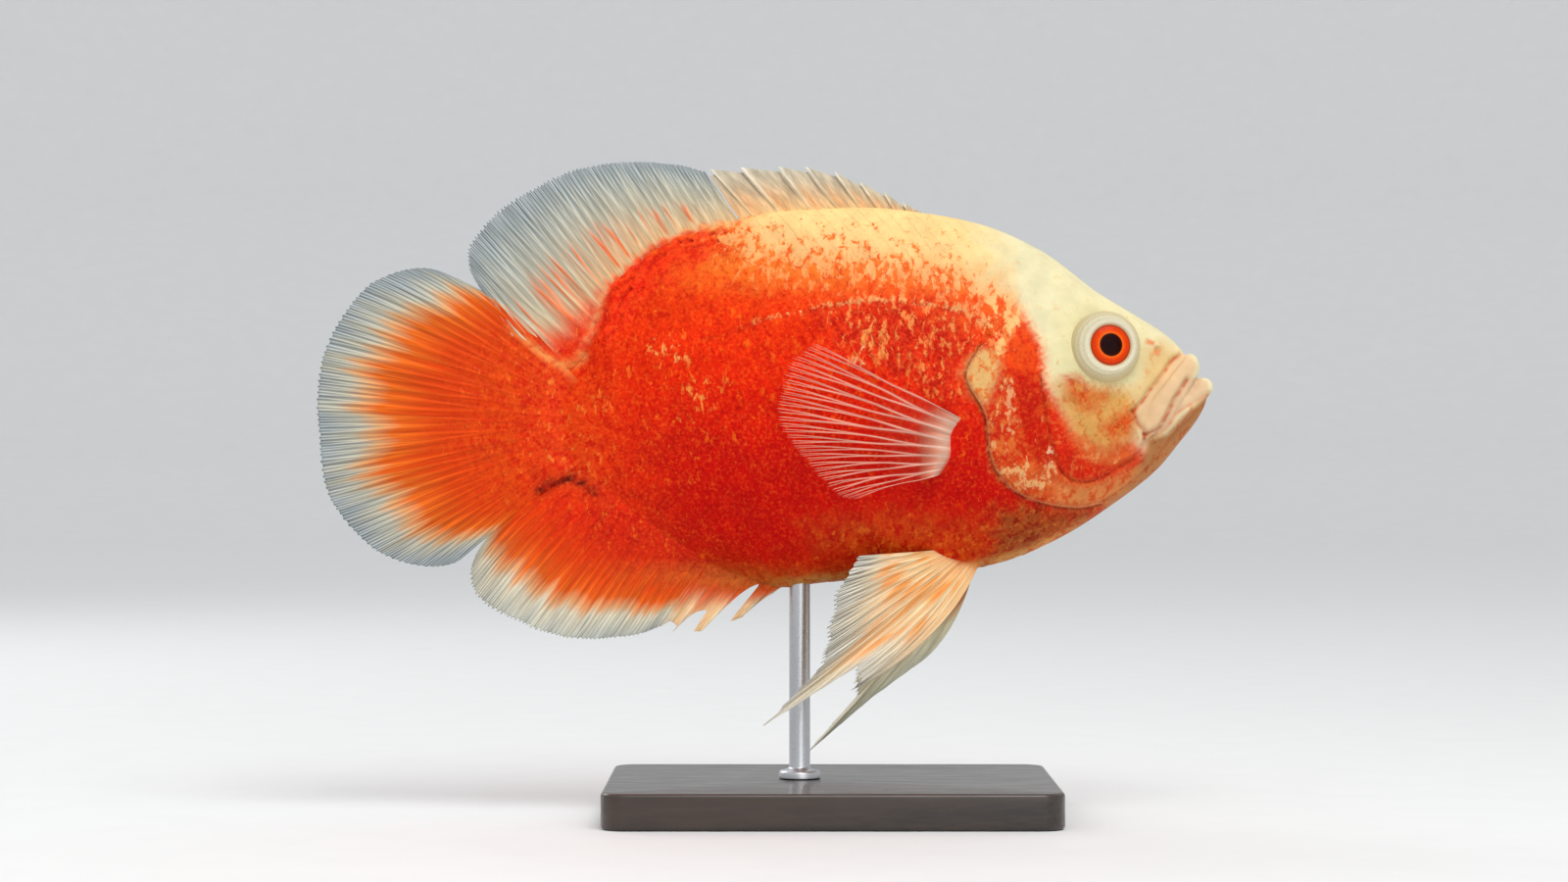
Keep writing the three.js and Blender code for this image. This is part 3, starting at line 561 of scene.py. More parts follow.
FLANK_PATCHES = [
    ([(-0.095, 0.095), (-0.034, 0.095), (-0.04, 0.13), (-0.03, 0.19), (-0.095, 0.19)], 0.022,
     dict(ground=(236, 48, 6), mottle=(216, 30, 4), pale=(246, 104, 30), cover=0.24)),
    ([(-0.0823, 0.1562), (-0.0624, 0.1532), (-0.0525, 0.1463), (-0.0545, 0.1087), (-0.0823, 0.1067)],
     0.008, dict(ground=(234, 62, 12), pale=(244, 120, 44), cover=0.28)),
    ([(-0.0595, 0.1598), (-0.0556, 0.168), (-0.0523, 0.1772), (-0.0464, 0.1838), (-0.0372, 0.191),
      (-0.028, 0.1956), (-0.0128, 0.1956), (-0.0128, 0.189), (-0.0266, 0.1838), (-0.0365, 0.1772),
      (-0.0437, 0.1696), (-0.0477, 0.1631), (-0.0523, 0.1575)], 0.004,
     dict(ground=(252, 60, 20), mottle=(234, 36, 10), share=0.5, cover=0.12)),
    # Deep crimson low on the flank: the fish's own red, darker partly as painted shade from the light
    # above
    ([(-0.024, 0.092), (0.0, 0.084), (0.06, 0.084), (0.07, 0.096), (0.066, 0.112), (0.02, 0.122),
      (-0.01, 0.118), (-0.03, 0.108)], 0.010,
     dict(ground=(200, 6, 0), mottle=(214, 24, 3), share=0.4, pale=(224, 52, 8), cover=0.16, grit=0.7)),
    ([(-0.17, 0.06), (-0.078, 0.06), (-0.077, 0.105), (-0.083, 0.13), (-0.077, 0.158), (-0.084, 0.2),
      (-0.17, 0.2)], 0.008,
     dict(ground=(226, 70, 6), mottle=(216, 46, 3), pale=(242, 112, 30), share=0.45, cover=0.24)),
    ([(0.0113, 0.098), (0.042, 0.102), (0.0738, 0.0991), (0.0851, 0.0923), (0.0761, 0.0787),
      (0.042, 0.0787), (0.017, 0.0878)], 0.006,
     dict(ground=(206, 60, 12), mottle=(190, 24, 4), share=0.45, pale=(220, 92, 24), cover=0.34)),
    # The throat under the gill cover: brown-red, darker partly as painted shade under the head
    ([(0.0761, 0.1026), (0.0885, 0.1037), (0.1044, 0.102), (0.1124, 0.1031), (0.1249, 0.1105),
      (0.1215, 0.0991), (0.0988, 0.081), (0.0761, 0.0776)], 0.005,
     dict(ground=(166, 72, 26), mottle=(152, 34, 8), share=0.45, pale=(182, 98, 44), cover=0.35)),
    (CRUSTED, 0.005,
     dict(ground=(226, 48, 16), mottle=(198, 24, 6), share=0.5, pale=(238, 132, 66), cover=0.36)),
    ([(0.0301, 0.1629), (0.0375, 0.1629), (0.0381, 0.1557), (0.0306, 0.155)], 0.003,
     dict(pale=(242, 150, 76), cover=0.5)),
    ([(0.0313, 0.1541), (0.0334, 0.1541), (0.0334, 0.152), (0.0313, 0.152)], 0.001,
     dict(pale=(250, 210, 170), cover=0.9)),
    ([(-0.0261, 0.1423), (-0.0193, 0.1411), (-0.0193, 0.1309), (-0.0261, 0.1298), (-0.0307, 0.1355)],
     0.006, dict(pale=(246, 130, 50), cover=0.36)),
    ([(-0.0367, 0.1582), (-0.0268, 0.1572), (-0.0268, 0.1518), (-0.0359, 0.1518)], 0.003,
     dict(pale=(250, 180, 100), cover=0.45)),
    ([(-0.0268, 0.1433), (-0.0149, 0.1443), (-0.0149, 0.1374), (-0.0258, 0.1374)], 0.004,
     dict(pale=(248, 150, 70), cover=0.4)),
    (CREAM_BACK, 0.020,
     dict(ground=(246, 128, 46), mottle=(240, 96, 28), pale=CREAM, cover=0.8, grit=0.35)),
    (NAPE, 0.014, dict(ground=(244, 176, 100), pale=HEAD_CREAM, cover=1.3, grit=0.1)),
]

# %% [markdown]
# On the head the patches are smaller and sharper: cream on the brow, orange clouds on the cheek, red
# and cream on the gill cover. After them come the creases again, now as thin darker strokes of
# colour: painted shade in the folds.
# %% Patches of the head
GILL_COVER = [
    (0.0704, 0.1559), (0.0755, 0.1559), (0.0795, 0.1514), (0.0806, 0.1491), (0.0902, 0.1485),
    (0.0922, 0.1366), (0.0942, 0.1264), (0.0959, 0.1196), (0.0988, 0.1141), (0.1044, 0.1114),
    (0.1146, 0.1128), (0.1249, 0.1173), (0.1271, 0.1116), (0.1146, 0.1043), (0.1044, 0.1028),
    (0.0942, 0.1037), (0.0863, 0.1065), (0.0795, 0.1105), (0.0749, 0.115), (0.0729, 0.1219),
    (0.0726, 0.1298), (0.0704, 0.1366), (0.0664, 0.1423), (0.0653, 0.1468), (0.067, 0.1519),
]
HEAD_PATCHES = [
    ([(0.076, 0.23), (0.079, 0.19), (0.082, 0.174), (0.092, 0.16), (0.15, 0.15), (0.15, 0.23)], 0.006,
     dict(ground=HEAD_CREAM, mottle=(236, 204, 150), share=0.2)),
    ([(0.0863, 0.207), (0.0829, 0.1832), (0.0834, 0.1729), (0.0863, 0.1667), (0.0897, 0.1604),
      (0.0914, 0.1525), (0.0925, 0.1446), (0.0959, 0.1389), (0.0988, 0.1355), (0.1022, 0.1309),
      (0.1101, 0.1287), (0.1215, 0.1264), (0.1249, 0.1219), (0.1555, 0.1219), (0.1555, 0.207)], 0.004,
     dict(ground=HEAD_CREAM, mottle=(236, 204, 150), share=0.2, cover=0.0, grit=0.06)),
    ([(0.0954, 0.1514), (0.0988, 0.1661), (0.1101, 0.1707), (0.1226, 0.1673), (0.1266, 0.1559),
      (0.1226, 0.1446), (0.1101, 0.1411), (0.0988, 0.1434)], 0.006,
     dict(ground=(224, 214, 164), mottle=(206, 190, 130))),
    ([(0.0959, 0.1446), (0.1044, 0.1446), (0.1215, 0.1423), (0.1249, 0.1355), (0.1226, 0.1264),
      (0.1124, 0.1207), (0.1022, 0.1264), (0.0971, 0.1366)], 0.004,
     dict(ground=(212, 158, 86), mottle=(202, 108, 42), share=0.38, grit=0.7)),
    ([(0.0985, 0.1463), (0.1033, 0.1468), (0.1078, 0.1411), (0.1092, 0.1355), (0.1044, 0.136),
      (0.1008, 0.1406)], 0.003, dict(ground=(206, 72, 20), mottle=(214, 140, 70), share=0.4, grit=1)),
    ([(0.1084, 0.1414), (0.1133, 0.1414), (0.1126, 0.1387), (0.1087, 0.1387)], 0.003,
     dict(ground=(204, 92, 36))),
    ([(0.1115, 0.13), (0.1198, 0.1352), (0.1228, 0.1334), (0.1206, 0.1281), (0.1146, 0.1257)], 0.003,
     dict(ground=(208, 68, 18), mottle=(214, 130, 60), share=0.34, grit=1)),
    ([(0.1033, 0.1264), (0.1101, 0.123), (0.1158, 0.1212), (0.1215, 0.1232), (0.1235, 0.1201),
      (0.1164, 0.1164), (0.1078, 0.1167), (0.1033, 0.1207)], 0.003,
     dict(ground=(216, 98, 44), mottle=(226, 144, 84), cover=0.0, grit=0.5)),
    ([(0.0906, 0.1423), (0.0931, 0.1409), (0.0971, 0.1332), (0.1001, 0.1264), (0.1044, 0.1201),
      (0.1101, 0.1173), (0.1151, 0.1162), (0.1112, 0.1128), (0.1044, 0.1116), (0.0988, 0.1141),
      (0.0959, 0.1196), (0.094, 0.1264), (0.0922, 0.1355)], 0.0026,
     dict(ground=(208, 36, 12), mottle=(222, 100, 46), share=0.42, cover=0.0, grit=0.8)),
    (GILL_COVER, 0.0014,
     dict(ground=(204, 46, 14), mottle=(218, 104, 44), share=0.42, pale=(230, 164, 104), cover=0.26,
          grit=0.8)),
    ([(0.0817, 0.1514), (0.0902, 0.1485), (0.0922, 0.1366), (0.0942, 0.1264), (0.0954, 0.1212),
      (0.0897, 0.1173), (0.0857, 0.1219), (0.0829, 0.1309), (0.0812, 0.1423)], 0.0026,
     dict(ground=(196, 24, 5), mottle=(208, 56, 16), share=0.4, cover=0.12)),
    ([(0.0726, 0.1423), (0.0766, 0.1468), (0.0795, 0.1423), (0.0795, 0.1287), (0.0817, 0.1219),
      (0.0783, 0.1173), (0.0749, 0.1219), (0.0733, 0.1332)], 0.0024, dict(ground=(206, 44, 16))),
    ([(0.0661, 0.1446), (0.0654, 0.1474), (0.0672, 0.1519), (0.0704, 0.1556), (0.0751, 0.1553),
      (0.077, 0.1514), (0.0761, 0.1463), (0.0743, 0.1417), (0.0729, 0.1375), (0.0698, 0.1389)], 0.0022,
     dict(ground=(228, 180, 112), mottle=(226, 116, 50), share=0.42, cover=0.1, grit=0.5)),
    ([(0.0792, 0.1451), (0.0813, 0.1451), (0.082, 0.1389), (0.0825, 0.1309), (0.0817, 0.1268),
      (0.0799, 0.1287), (0.0795, 0.1366)], 0.0022, dict(pale=(220, 144, 104), cover=0.6)),
    ([(0.0923, 0.1214), (0.094, 0.1234), (0.0954, 0.1219), (0.0944, 0.1171), (0.0926, 0.1171)], 0.0018,
     dict(pale=(232, 184, 150), cover=0.62)),
    ([(0.0756, 0.1156), (0.0817, 0.1173), (0.0874, 0.1173), (0.0942, 0.1167), (0.0976, 0.1116),
      (0.0942, 0.1077), (0.0863, 0.1088), (0.0795, 0.1116)], 0.003,
     dict(ground=(214, 84, 36), pale=(234, 172, 112), cover=0.5)),
    ([(0.0959, 0.1114), (0.1022, 0.1105), (0.1112, 0.1111), (0.1249, 0.1173), (0.1283, 0.1128),
      (0.1158, 0.1046), (0.1044, 0.103), (0.0965, 0.1039)], 0.003,
     dict(ground=(220, 136, 74), mottle=(212, 84, 36), share=0.42, cover=0.1, grit=0.4)),
    ([(0.0855, 0.1673), (0.0874, 0.1627), (0.0908, 0.1559), (0.0913, 0.1514), (0.0908, 0.1482),
      (0.0829, 0.1484), (0.0789, 0.1519), (0.0795, 0.157), (0.0823, 0.161)], 0.002,
     dict(ground=(234, 74, 16), mottle=(218, 48, 10), share=0.42, cover=0.1, grit=0.7)),
    ([(0.0738, 0.1718), (0.0766, 0.1729), (0.0817, 0.1741), (0.0813, 0.1684), (0.0795, 0.1627),
      (0.0761, 0.1602), (0.0726, 0.1591), (0.0721, 0.1639), (0.0743, 0.1673)], 0.003,
     dict(ground=(238, 92, 28), pale=(248, 190, 116), cover=0.42, grit=0.6)),
    ([(0.0831, 0.1718), (0.0845, 0.1673), (0.0835, 0.1621), (0.0804, 0.1587), (0.0783, 0.1536),
      (0.0756, 0.1525), (0.0761, 0.1576), (0.0789, 0.1616), (0.0812, 0.1667)], 0.0016,
     dict(ground=(240, 140, 70), pale=(242, 190, 118), cover=0.6, grit=0.5)),
    ([(0.126, 0.1559), (0.1328, 0.1582), (0.1391, 0.1539), (0.1351, 0.148), (0.1294, 0.1423),
      (0.1237, 0.1377), (0.1215, 0.1411), (0.1249, 0.1468)], 0.004,
     dict(ground=(226, 192, 132), mottle=(222, 158, 92), share=0.3)),
    ([(0.1271, 0.1593), (0.1299, 0.1583), (0.1294, 0.157), (0.1269, 0.1577)], 0.0007,
     dict(ground=(232, 138, 86))),
    ([(0.1294, 0.156), (0.1317, 0.1551), (0.1312, 0.1535), (0.1292, 0.1543)], 0.0007,
     dict(ground=(234, 150, 98))),
    ([(0.1266, 0.1264), (0.1334, 0.1275), (0.1385, 0.1332), (0.1481, 0.1417), (0.1487, 0.1355),
      (0.1362, 0.1196), (0.126, 0.1094), (0.1135, 0.102), (0.1129, 0.1043), (0.1215, 0.1116),
      (0.1249, 0.1173), (0.1266, 0.1219)], 0.0018,
     dict(ground=(184, 124, 74), mottle=(178, 86, 40), share=0.34, cover=0.0, grit=0.3)),
    ([(0.1383, 0.1543), (0.1421, 0.1539), (0.1442, 0.1502), (0.1417, 0.1457), (0.1362, 0.1389),
      (0.1322, 0.1318), (0.1266, 0.1273), (0.124, 0.1307), (0.1224, 0.1349), (0.1283, 0.1414),
      (0.1334, 0.1477)], 0.0009,
     dict(ground=PEACH, mottle=(220, 170, 122), share=0.12, cover=0.0, grit=0.0)),
    ([(0.1404, 0.1452), (0.1447, 0.1466), (0.148, 0.145), (0.1478, 0.1414), (0.1419, 0.1377),
      (0.1374, 0.1338), (0.1335, 0.1287), (0.1266, 0.1268), (0.132, 0.1316), (0.1362, 0.1389)], 0.0009,
     dict(ground=(218, 184, 146), mottle=(212, 162, 118), share=0.12, cover=0.0, grit=0.0)),
]
PAINTED_LINES = [
    # line, width, colour, strength
    # The strokes along the creases, the jaw, the lateral line and the tail's fold are darker: painted
    # shade in those folds. The strokes along the fin's foot and the tail's rim are pale.
    (CHEEK_CREASE, 0.0004, (150, 26, 8), 0.9), (MOUTH_CORNER, 0.0006, (190, 52, 14), 0.9),
    (LIP_CREASE, 0.0005, (208, 88, 40), 0.9), (LOWER_LIP_CREASE, 0.0004, (222, 112, 66), 0.8),
    (JAW_LINE, 0.0004, (176, 70, 30), 0.5), (MOUTH_LINE, 0.0006, (196, 96, 56), 0.9),
    (FIN_FOOT, 0.0014, (236, 170, 110), 0.7), (LATERAL_LINE, 0.0005, (160, 22, 6), 0.7),
    (TAIL_RIM, 0.0016, (248, 176, 96), 0.65), (TAIL_FOLD_SHADOW, 0.0014, (112, 10, 3), 1.1),
]

# %% [markdown]
# Before a patch is asked whether a place is inside it, the place is shifted a little, so that no
# edge runs straight. Then all is laid on in order, and last come a painted shadow behind the gill
# cover's free edge and a painted highlight along its rim.
# %% Paint
FINE_WOBBLE = dict(size=0.0005, wave=0.0034)
WIDE_WOBBLE = dict(size=0.0016, wave=0.012)
# Widths of the gill edge's painted shadow and painted highlight, and of the lateral line's pale band
GILL_DARK, GILL_BRIGHT, LINE_GLOW = 0.0007, 0.0005, 0.0009


def wobbled(x, z, size, wave):
    """Places shifted a little this way and that, so that a patch's edge is never straight"""
    turn = 2 * np.pi / wave
    across = np.sin(turn * x + 3 * np.sin(0.63 * turn * z))
    across += 0.6 * np.sin(1.9 * turn * z + 2 * np.sin(turn * x))
    upward = np.sin(turn * z + 3 * np.sin(0.71 * turn * x))
    upward += 0.6 * np.sin(2.1 * turn * x + 2 * np.sin(turn * z))
    return x + size * across, z + size * upward


def paint(points):
    x, z = points[:, 0], points[:, 2]
    steady_lips = 1 - ease(x, 0.119, 0.127)
    near_x, near_z = wobbled(x, z, FINE_WOBBLE["size"] * steady_lips, FINE_WOBBLE["wave"])
    wide_x, wide_z = wobbled(x, z, **WIDE_WOBBLE)
    ground = layered(z, FLANK)
    full = np.ones(len(x))
    layers = dict(
        ground=ground, mottle=ground * [0.86, 0.5, 0.5], pale=mix(ground, tone(GLOW), 0.5),
        share=0.42 * full, cover=0.26 * full, grit=full.copy(),
    )

    def change(weight, changes):
        for key, value in changes.items():
            if layers[key].ndim == 2:
                layers[key] = over(layers[key], value, weight)
            else:
                layers[key] = mix(layers[key], value, weight)

    edge = (1 - ease(z - belly(x), 0.001, 0.0045)) * ease(x, 0.0, 0.012) * (1 - ease(x, 0.09, 0.12))
    for outline, soft, changes in FLANK_PATCHES:
        change(inside(outline, wide_x, wide_z, soft), changes)
    change(edge, dict(ground=(216, 150, 78), mottle=(208, 104, 40), cover=0.1, grit=0.4))
    # The folds between the loose skin's ridges are painted darker red: painted shade in the folds
    fold = 0.8 * ease(-ripples(x, z), 0.1, 0.8)
    change(fold, dict(ground=(198, 18, 4), mottle=(206, 26, 6), cover=0.05))
    near_line = bell(distance_to(LATERAL_LINE, x, z - 0.0006), LINE_GLOW)
    change(near_line * ease(x, -0.02, 0.01), dict(pale=(248, 178, 112), cover=0.56))
    for outline, soft, changes in HEAD_PATCHES:
        change(inside(outline, near_x, near_z, soft), changes)
    # Thin strokes along the lines; the darker ones are painted shade in the creases
    for line, width, colour, strength in PAINTED_LINES:
        broken_up = 0.7 + 0.3 * np.sin(x * 900 + 2 * np.sin(z * 1100))
        near = bell(distance_to(curve(line, 40), x, z), width)
        weight = np.minimum(strength * broken_up * near, 1)
        change(weight, dict(ground=colour, mottle=colour, pale=colour))
    # A painted shadow on the skin behind the gill cover's free edge, and a painted highlight along the rim
    # just ahead of it
    ahead = inside(ahead_of_gills, x, z, 0.0002)
    gill = distance_to(GILL_EDGE, x, z)
    dark = (1 - ahead) * bell(gill, GILL_DARK)
    change(0.8 * dark, dict(ground=GILL_SHADOW, mottle=GILL_SHADOW, pale=GILL_SHADOW))
    rim = ahead * bell(gill, GILL_BRIGHT) * (z < 0.157)
    change(0.55 * rim, dict(ground=GILL_HIGHLIGHT, mottle=GILL_HIGHLIGHT))
    return layers


def paint_piece(piece):
    for name, values in paint(places_of(piece)).items():
        keep_values(piece, name, values)


paint_piece(skin)
print("Painted", len(FLANK_PATCHES) + len(HEAD_PATCHES), "patches and", len(PAINTED_LINES), "lines")

# %% [markdown]
# ## Finishes
# A finish is a small tree of nodes. These helpers each add a node and plug in its inputs, so a
# material below reads as a list of steps. What several materials share is a node group: it only
# puts out colours and heights, and each material keeps its own shader.
# %% Helpers for nodes
def plug(tree, made, plugs):
    """Sets named inputs of a node: a socket is linked to, and anything else is a plain value"""
    for name, value in plugs.items():
        socket = made.inputs[name]
        if isinstance(value, bpy.types.NodeSocket):
            tree.links.new(value, socket)
        else:
            socket.default_value = value


def node(tree, kind, plugs=None, **settings):
    made = tree.nodes.new(kind)
    for name, value in settings.items():
        setattr(made, name, value)
    plug(tree, made, plugs or {})
    return made


def mixed(tree, share, first, second, blend="MIX"):
    plugs = {0: share, 6: first, 7: second}
    return node(tree, "ShaderNodeMix", plugs, data_type="RGBA", blend_type=blend).outputs[2]


def dimmed(tree, colour, light):
    """A colour times a grey value"""
    grey = node(tree, "ShaderNodeCombineColor", {"Red": light, "Green": light, "Blue": light})
    return mixed(tree, 1.0, colour, grey.outputs[0], "MULTIPLY")


def stretched(tree, place, scale, turn=(0, 0, 0)):
    return node(tree, "ShaderNodeMapping", {"Vector": place, "Scale": scale, "Rotation": turn}).outputs[0]


def noise(tree, place, scale, detail=2.0, roughness=0.5, distortion=0.0):
    plugs = {"Vector": place, "Scale": scale, "Detail": detail, "Roughness": roughness,
             "Distortion": distortion}
    return node(tree, "ShaderNodeTexNoise", plugs).outputs["Fac"]


def bumped(tree, height, depth, strength=1.0):
    plugs = {"Strength": strength, "Distance": depth, "Height": height}
    return node(tree, "ShaderNodeBump", plugs).outputs["Normal"]


def own_place(tree):
    return node(tree, "ShaderNodeTexCoord").outputs["Object"]


def painted(tree, name, output="Fac"):
    return node(tree, "ShaderNodeAttribute", attribute_name=name).outputs[output]


def stepped(tree, value, low, high, to_low=0.0, to_high=1.0):
    plugs = {"Value": value, "From Min": low, "From Max": high, "To Min": to_low, "To Max": to_high}
    return node(tree, "ShaderNodeMapRange", plugs, interpolation_type="SMOOTHSTEP").outputs["Result"]


def maths(how):
    """A function that adds a math node of that kind to a tree"""
    def adds(tree, first, second=0.0):
        return node(tree, "ShaderNodeMath", {0: first, 1: second}, operation=how).outputs[0]

    return adds


plus, minus, times, divided = [maths(how) for how in ("ADD", "SUBTRACT", "MULTIPLY", "DIVIDE")]


def new_group(name, inputs, outputs):
    tree = bpy.data.node_groups.new(name, "ShaderNodeTree")
    for socket, kind in inputs:
        tree.interface.new_socket(socket, in_out="INPUT", socket_type=kind)
    for socket, kind in outputs:
        tree.interface.new_socket(socket, in_out="OUTPUT", socket_type=kind)
    start = tree.nodes.new("NodeGroupInput")
    end = tree.nodes.new("NodeGroupOutput")
    return tree, start, end


def new_material(name):
    material = bpy.data.materials.new(name)
    material.use_nodes = True
    tree = material.node_tree
    tree.nodes.clear()
    shader = tree.nodes.new("ShaderNodeBsdfPrincipled")
    output = tree.nodes.new("ShaderNodeOutputMaterial")
    tree.links.new(shader.outputs["BSDF"], output.inputs["Surface"])
    return material, tree, shader


# %% [markdown]
# The skin's group breaks the painted colours into blotches, drawn out a little from top to bottom
# as they are on the fish, lays the pale flecks over them, adds a fine grit, and puts out the pebbled
# height of the skin. A share of 0.5 means that half of the noise lies above the threshold.
# %% The mottled skin group
COLOUR, NUMBER, VECTOR = "NodeSocketColor", "NodeSocketFloat", "NodeSocketVector"
BLOTCH, SKIN_PEBBLE, SCALE_PEBBLE, RELIEF = 0.0028, 0.0012, 0.0009, 0.00014
GRIT_ORANGE = (1.0, 0.22, 0.02, 1)
mottled, start, end = new_group(
    "mottled_skin",
    [("Ground", COLOUR), ("Mottling", COLOUR), ("Pale", COLOUR), ("Share", NUMBER), ("Cover", NUMBER),
     ("Grit", NUMBER), ("Place", VECTOR), ("Blotch size", NUMBER), ("Pebble size", NUMBER)],
    [("Colour", COLOUR), ("Roughness", NUMBER), ("Height", NUMBER)],
)


def broken(tree, place, size, stretch, share, blur):
    """A mask of noise that covers about `share` of the surface"""
    scale = divided(tree, 1.0, size)
    cloudy = noise(tree, stretched(tree, place, (1, 1, stretch)), scale, 5.0, 0.66, 0.3)
    threshold = minus(tree, 0.75, times(tree, share, 0.5))
    return stepped(tree, cloudy, minus(tree, threshold, blur), plus(tree, threshold, blur))


given = start.outputs
spot, blotch, grit = given["Place"], given["Blotch size"], given["Grit"]
specks = broken(mottled, spot, blotch, 0.8, given["Share"], 0.075)
colour = mixed(mottled, specks, given["Ground"], given["Mottling"])
flecks = broken(mottled, spot, times(mottled, blotch, 0.8), 0.55, given["Cover"], 0.055)
colour = mixed(mottled, flecks, colour, given["Pale"])
fine = noise(mottled, spot, 900.0, 3.0, 0.6)
cloud = noise(mottled, spot, 120.0, 3.0)
light = times(mottled, stepped(mottled, fine, 0.5, 0.7, 0.0, 0.44), grit)
colour = mixed(mottled, light, colour, mixed(mottled, 0.5, colour, GRIT_ORANGE))
dark = times(mottled, stepped(mottled, fine, 0.3, 0.5, 0.26, 0.0), grit)
shade = times(mottled, minus(mottled, 1.0, dark), stepped(mottled, cloud, 0.3, 0.7, 0.92, 1.06))
pebbles = node(mottled, "ShaderNodeTexVoronoi", {
    "Vector": spot, "Scale": divided(mottled, 1.0, given["Pebble size"]), "Smoothness": 0.6,
}, feature="SMOOTH_F1").outputs["Distance"]
height = plus(mottled, times(mottled, pebbles, -0.8), fine)
plug(mottled, end, {
    "Colour": dimmed(mottled, colour, shade),
    "Height": times(mottled, height, plus(mottled, 0.35, times(mottled, grit, 0.65))),
    "Roughness": stepped(mottled, cloud, 0.3, 0.7, 0.42, 0.56),
})


def painted_skin(tree, pebble):
    """The group placed in a material, fed with what was painted on the piece"""
    plugs = {"Place": own_place(tree), "Blotch size": BLOTCH, "Pebble size": pebble}
    for socket, name in (("Ground", "ground"), ("Mottling", "mottle"), ("Pale", "pale")):
        plugs[socket] = painted(tree, name, "Color")
    for socket, name in (("Share", "share"), ("Cover", "cover"), ("Grit", "grit")):
        plugs[socket] = painted(tree, name)
    return node(tree, "ShaderNodeGroup", plugs, node_tree=mottled).outputs


def skin_material(name, pebble):
    material, tree, shader = new_material(name)
    skin_look = painted_skin(tree, pebble)
    plug(tree, shader, {
        "Base Color": skin_look["Colour"], "Roughness": skin_look["Roughness"],
        "Normal": bumped(tree, skin_look["Height"], RELIEF), "Specular IOR Level": 0.05,
        "Coat Weight": 0.03, "Coat Roughness": 0.22, "Subsurface Weight": 0.06,
        "Subsurface Radius": (0.0016, 0.0006, 0.0003), "Subsurface Scale": 1.0,
    })
    return material


skin_finish = skin_material("skin_finish", SKIN_PEBBLE)
scale_finish = skin_material("scale_finish", SCALE_PEBBLE)
skin.data.materials.append(skin_finish)

# %% [markdown]
# ## The scales
# An oscar's scales are thin, rounded plates that overlap towards the tail, with only their rear edge
# free. Copying a thousand of them by hand would be hopeless, so one scale is modelled, and a Geometry
# Nodes tree sets a copy on every point of a staggered lattice that follows the body, turns it the
# way the coat lies, and then lays it down on the skin, so that it bends with the flank.
# %% One scale
SCALE_ALONG = 0.0086
SCALE_ACROSS = 0.0084
SCALE_EDGE = 0.00017
SCALE_ROOT = 0.0002
SCALE_DEPTH = 0.0007


def one_scale():
    """A plate whose height above the skin is kept in z: below it at the root, proud at the edge"""
    rows, columns = 6, 6
    points, faces = [], []
    for i in range(rows + 1):
        t = i / rows
        wide = math.sqrt(max(0.0, 1 - max(0.0, (t - 0.4) / 0.6) ** 2)) * (0.8 + 0.2 * min(1, t / 0.4))
        for k in range(columns + 1):
            s = (2 * k / columns - 1) * max(wide, 0.05)
            rise = mix(-SCALE_ROOT, SCALE_EDGE, t) * (1 - 0.25 * s * s)
            points.append(((t - 0.55) * SCALE_ALONG, s * SCALE_ACROSS / 2, rise))
    for i in range(rows):
        for k in range(columns):
            a = i * (columns + 1) + k
            faces.append((a, a + columns + 1, a + columns + 2, a + 1))
    under = len(points)
    points.append((-0.05 * SCALE_ALONG, 0, -SCALE_DEPTH))
    rim = list(range(columns + 1))
    rim += [i * (columns + 1) + columns for i in range(1, rows + 1)]
    rim += [rows * (columns + 1) + k for k in range(columns - 1, -1, -1)]
    rim += [i * (columns + 1) for i in range(rows - 1, 0, -1)]
    faces += [(rim[k], rim[(k + 1) % len(rim)], under) for k in range(len(rim))]
    border = {tuple(sorted((rim[k - 1], rim[k]))) for k in range(len(rim))}
    piece = outward(make_mesh("one_scale", points, faces))
    for edge in piece.data.edges:
        edge.use_edge_sharp = edge.key in border
    shape = np.array(points)
    patch = np.stack([shape[:, 0] / SCALE_ALONG, shape[:, 1] / SCALE_ACROSS, 0 * shape[:, 0]], axis=1)
    keep_values(piece, "patch_shape", patch, "FLOAT_VECTOR")
    keep_values(piece, "lie", shape * [0, 0, 1], "FLOAT_VECTOR")
    return piece


scale_shape = one_scale()
print("A scale has", len(scale_shape.data.polygons), "faces")

# %% [markdown]
# Each flank is walked in even steps from its middle line to the back and the belly, and every other
# column starts half a step on, as tiles are laid. The face, the cheek and the edge of the gill cover
# stay bare.
# %% Where the scales grow
ROW_STEP = 0.0034
COLUMN_STEP = 0.0046
SKIN_LENGTH = SNOUT - TAIL_BASE
CHEEK_TOP, FACE_START, BARE_EDGE = 0.163, 0.094, 0.0034
surface = BVHTree.FromPolygons(
    [tuple(point) for point in places_of(skin)], [tuple(face.vertices) for face in skin.data.polygons]
)


def scale_places(side):
    """Points on one flank, and how far round the flank each lies, from the belly to the back"""
    found = []
    quarter = np.linspace(-np.pi / 2, np.pi / 2, 240)
    for column, station in enumerate(np.arange(TAIL_BASE + 0.008, 0.1, COLUMN_STEP / 2)):
        section = body_surface(np.full(240, station), quarter)
        steps = np.linalg.norm(np.diff(section, axis=0), axis=1)
        girth = np.concatenate([[0], np.cumsum(steps)])
        from_middle = girth - np.interp(0, quarter, girth)
        rows = np.arange(-40, 41)
        heights = rows[(rows + column) % 2 == 0] * ROW_STEP
        for height in heights[(heights > from_middle[0] + 0.001) & (heights < from_middle[-1] - 0.0015)]:
            place = read_off(height, from_middle, section)
            found.append((*place, (height - from_middle[0]) / (from_middle[-1] - from_middle[0])))
    found = np.array(found)
    x, z = found[:, 0], found[:, 2]
    on_cheek = (inside(ahead_of_gills, x, z, 0.0001) > 0.5) & (z < CHEEK_TOP)
    on_face = x > FACE_START - 0.0016 * np.sin(z * 900)
    bare = on_cheek | (distance_to(GILL_EDGE, x, z) < BARE_EDGE) | on_face
    found = found[~bare]
    found[:, 1] *= side
    return found


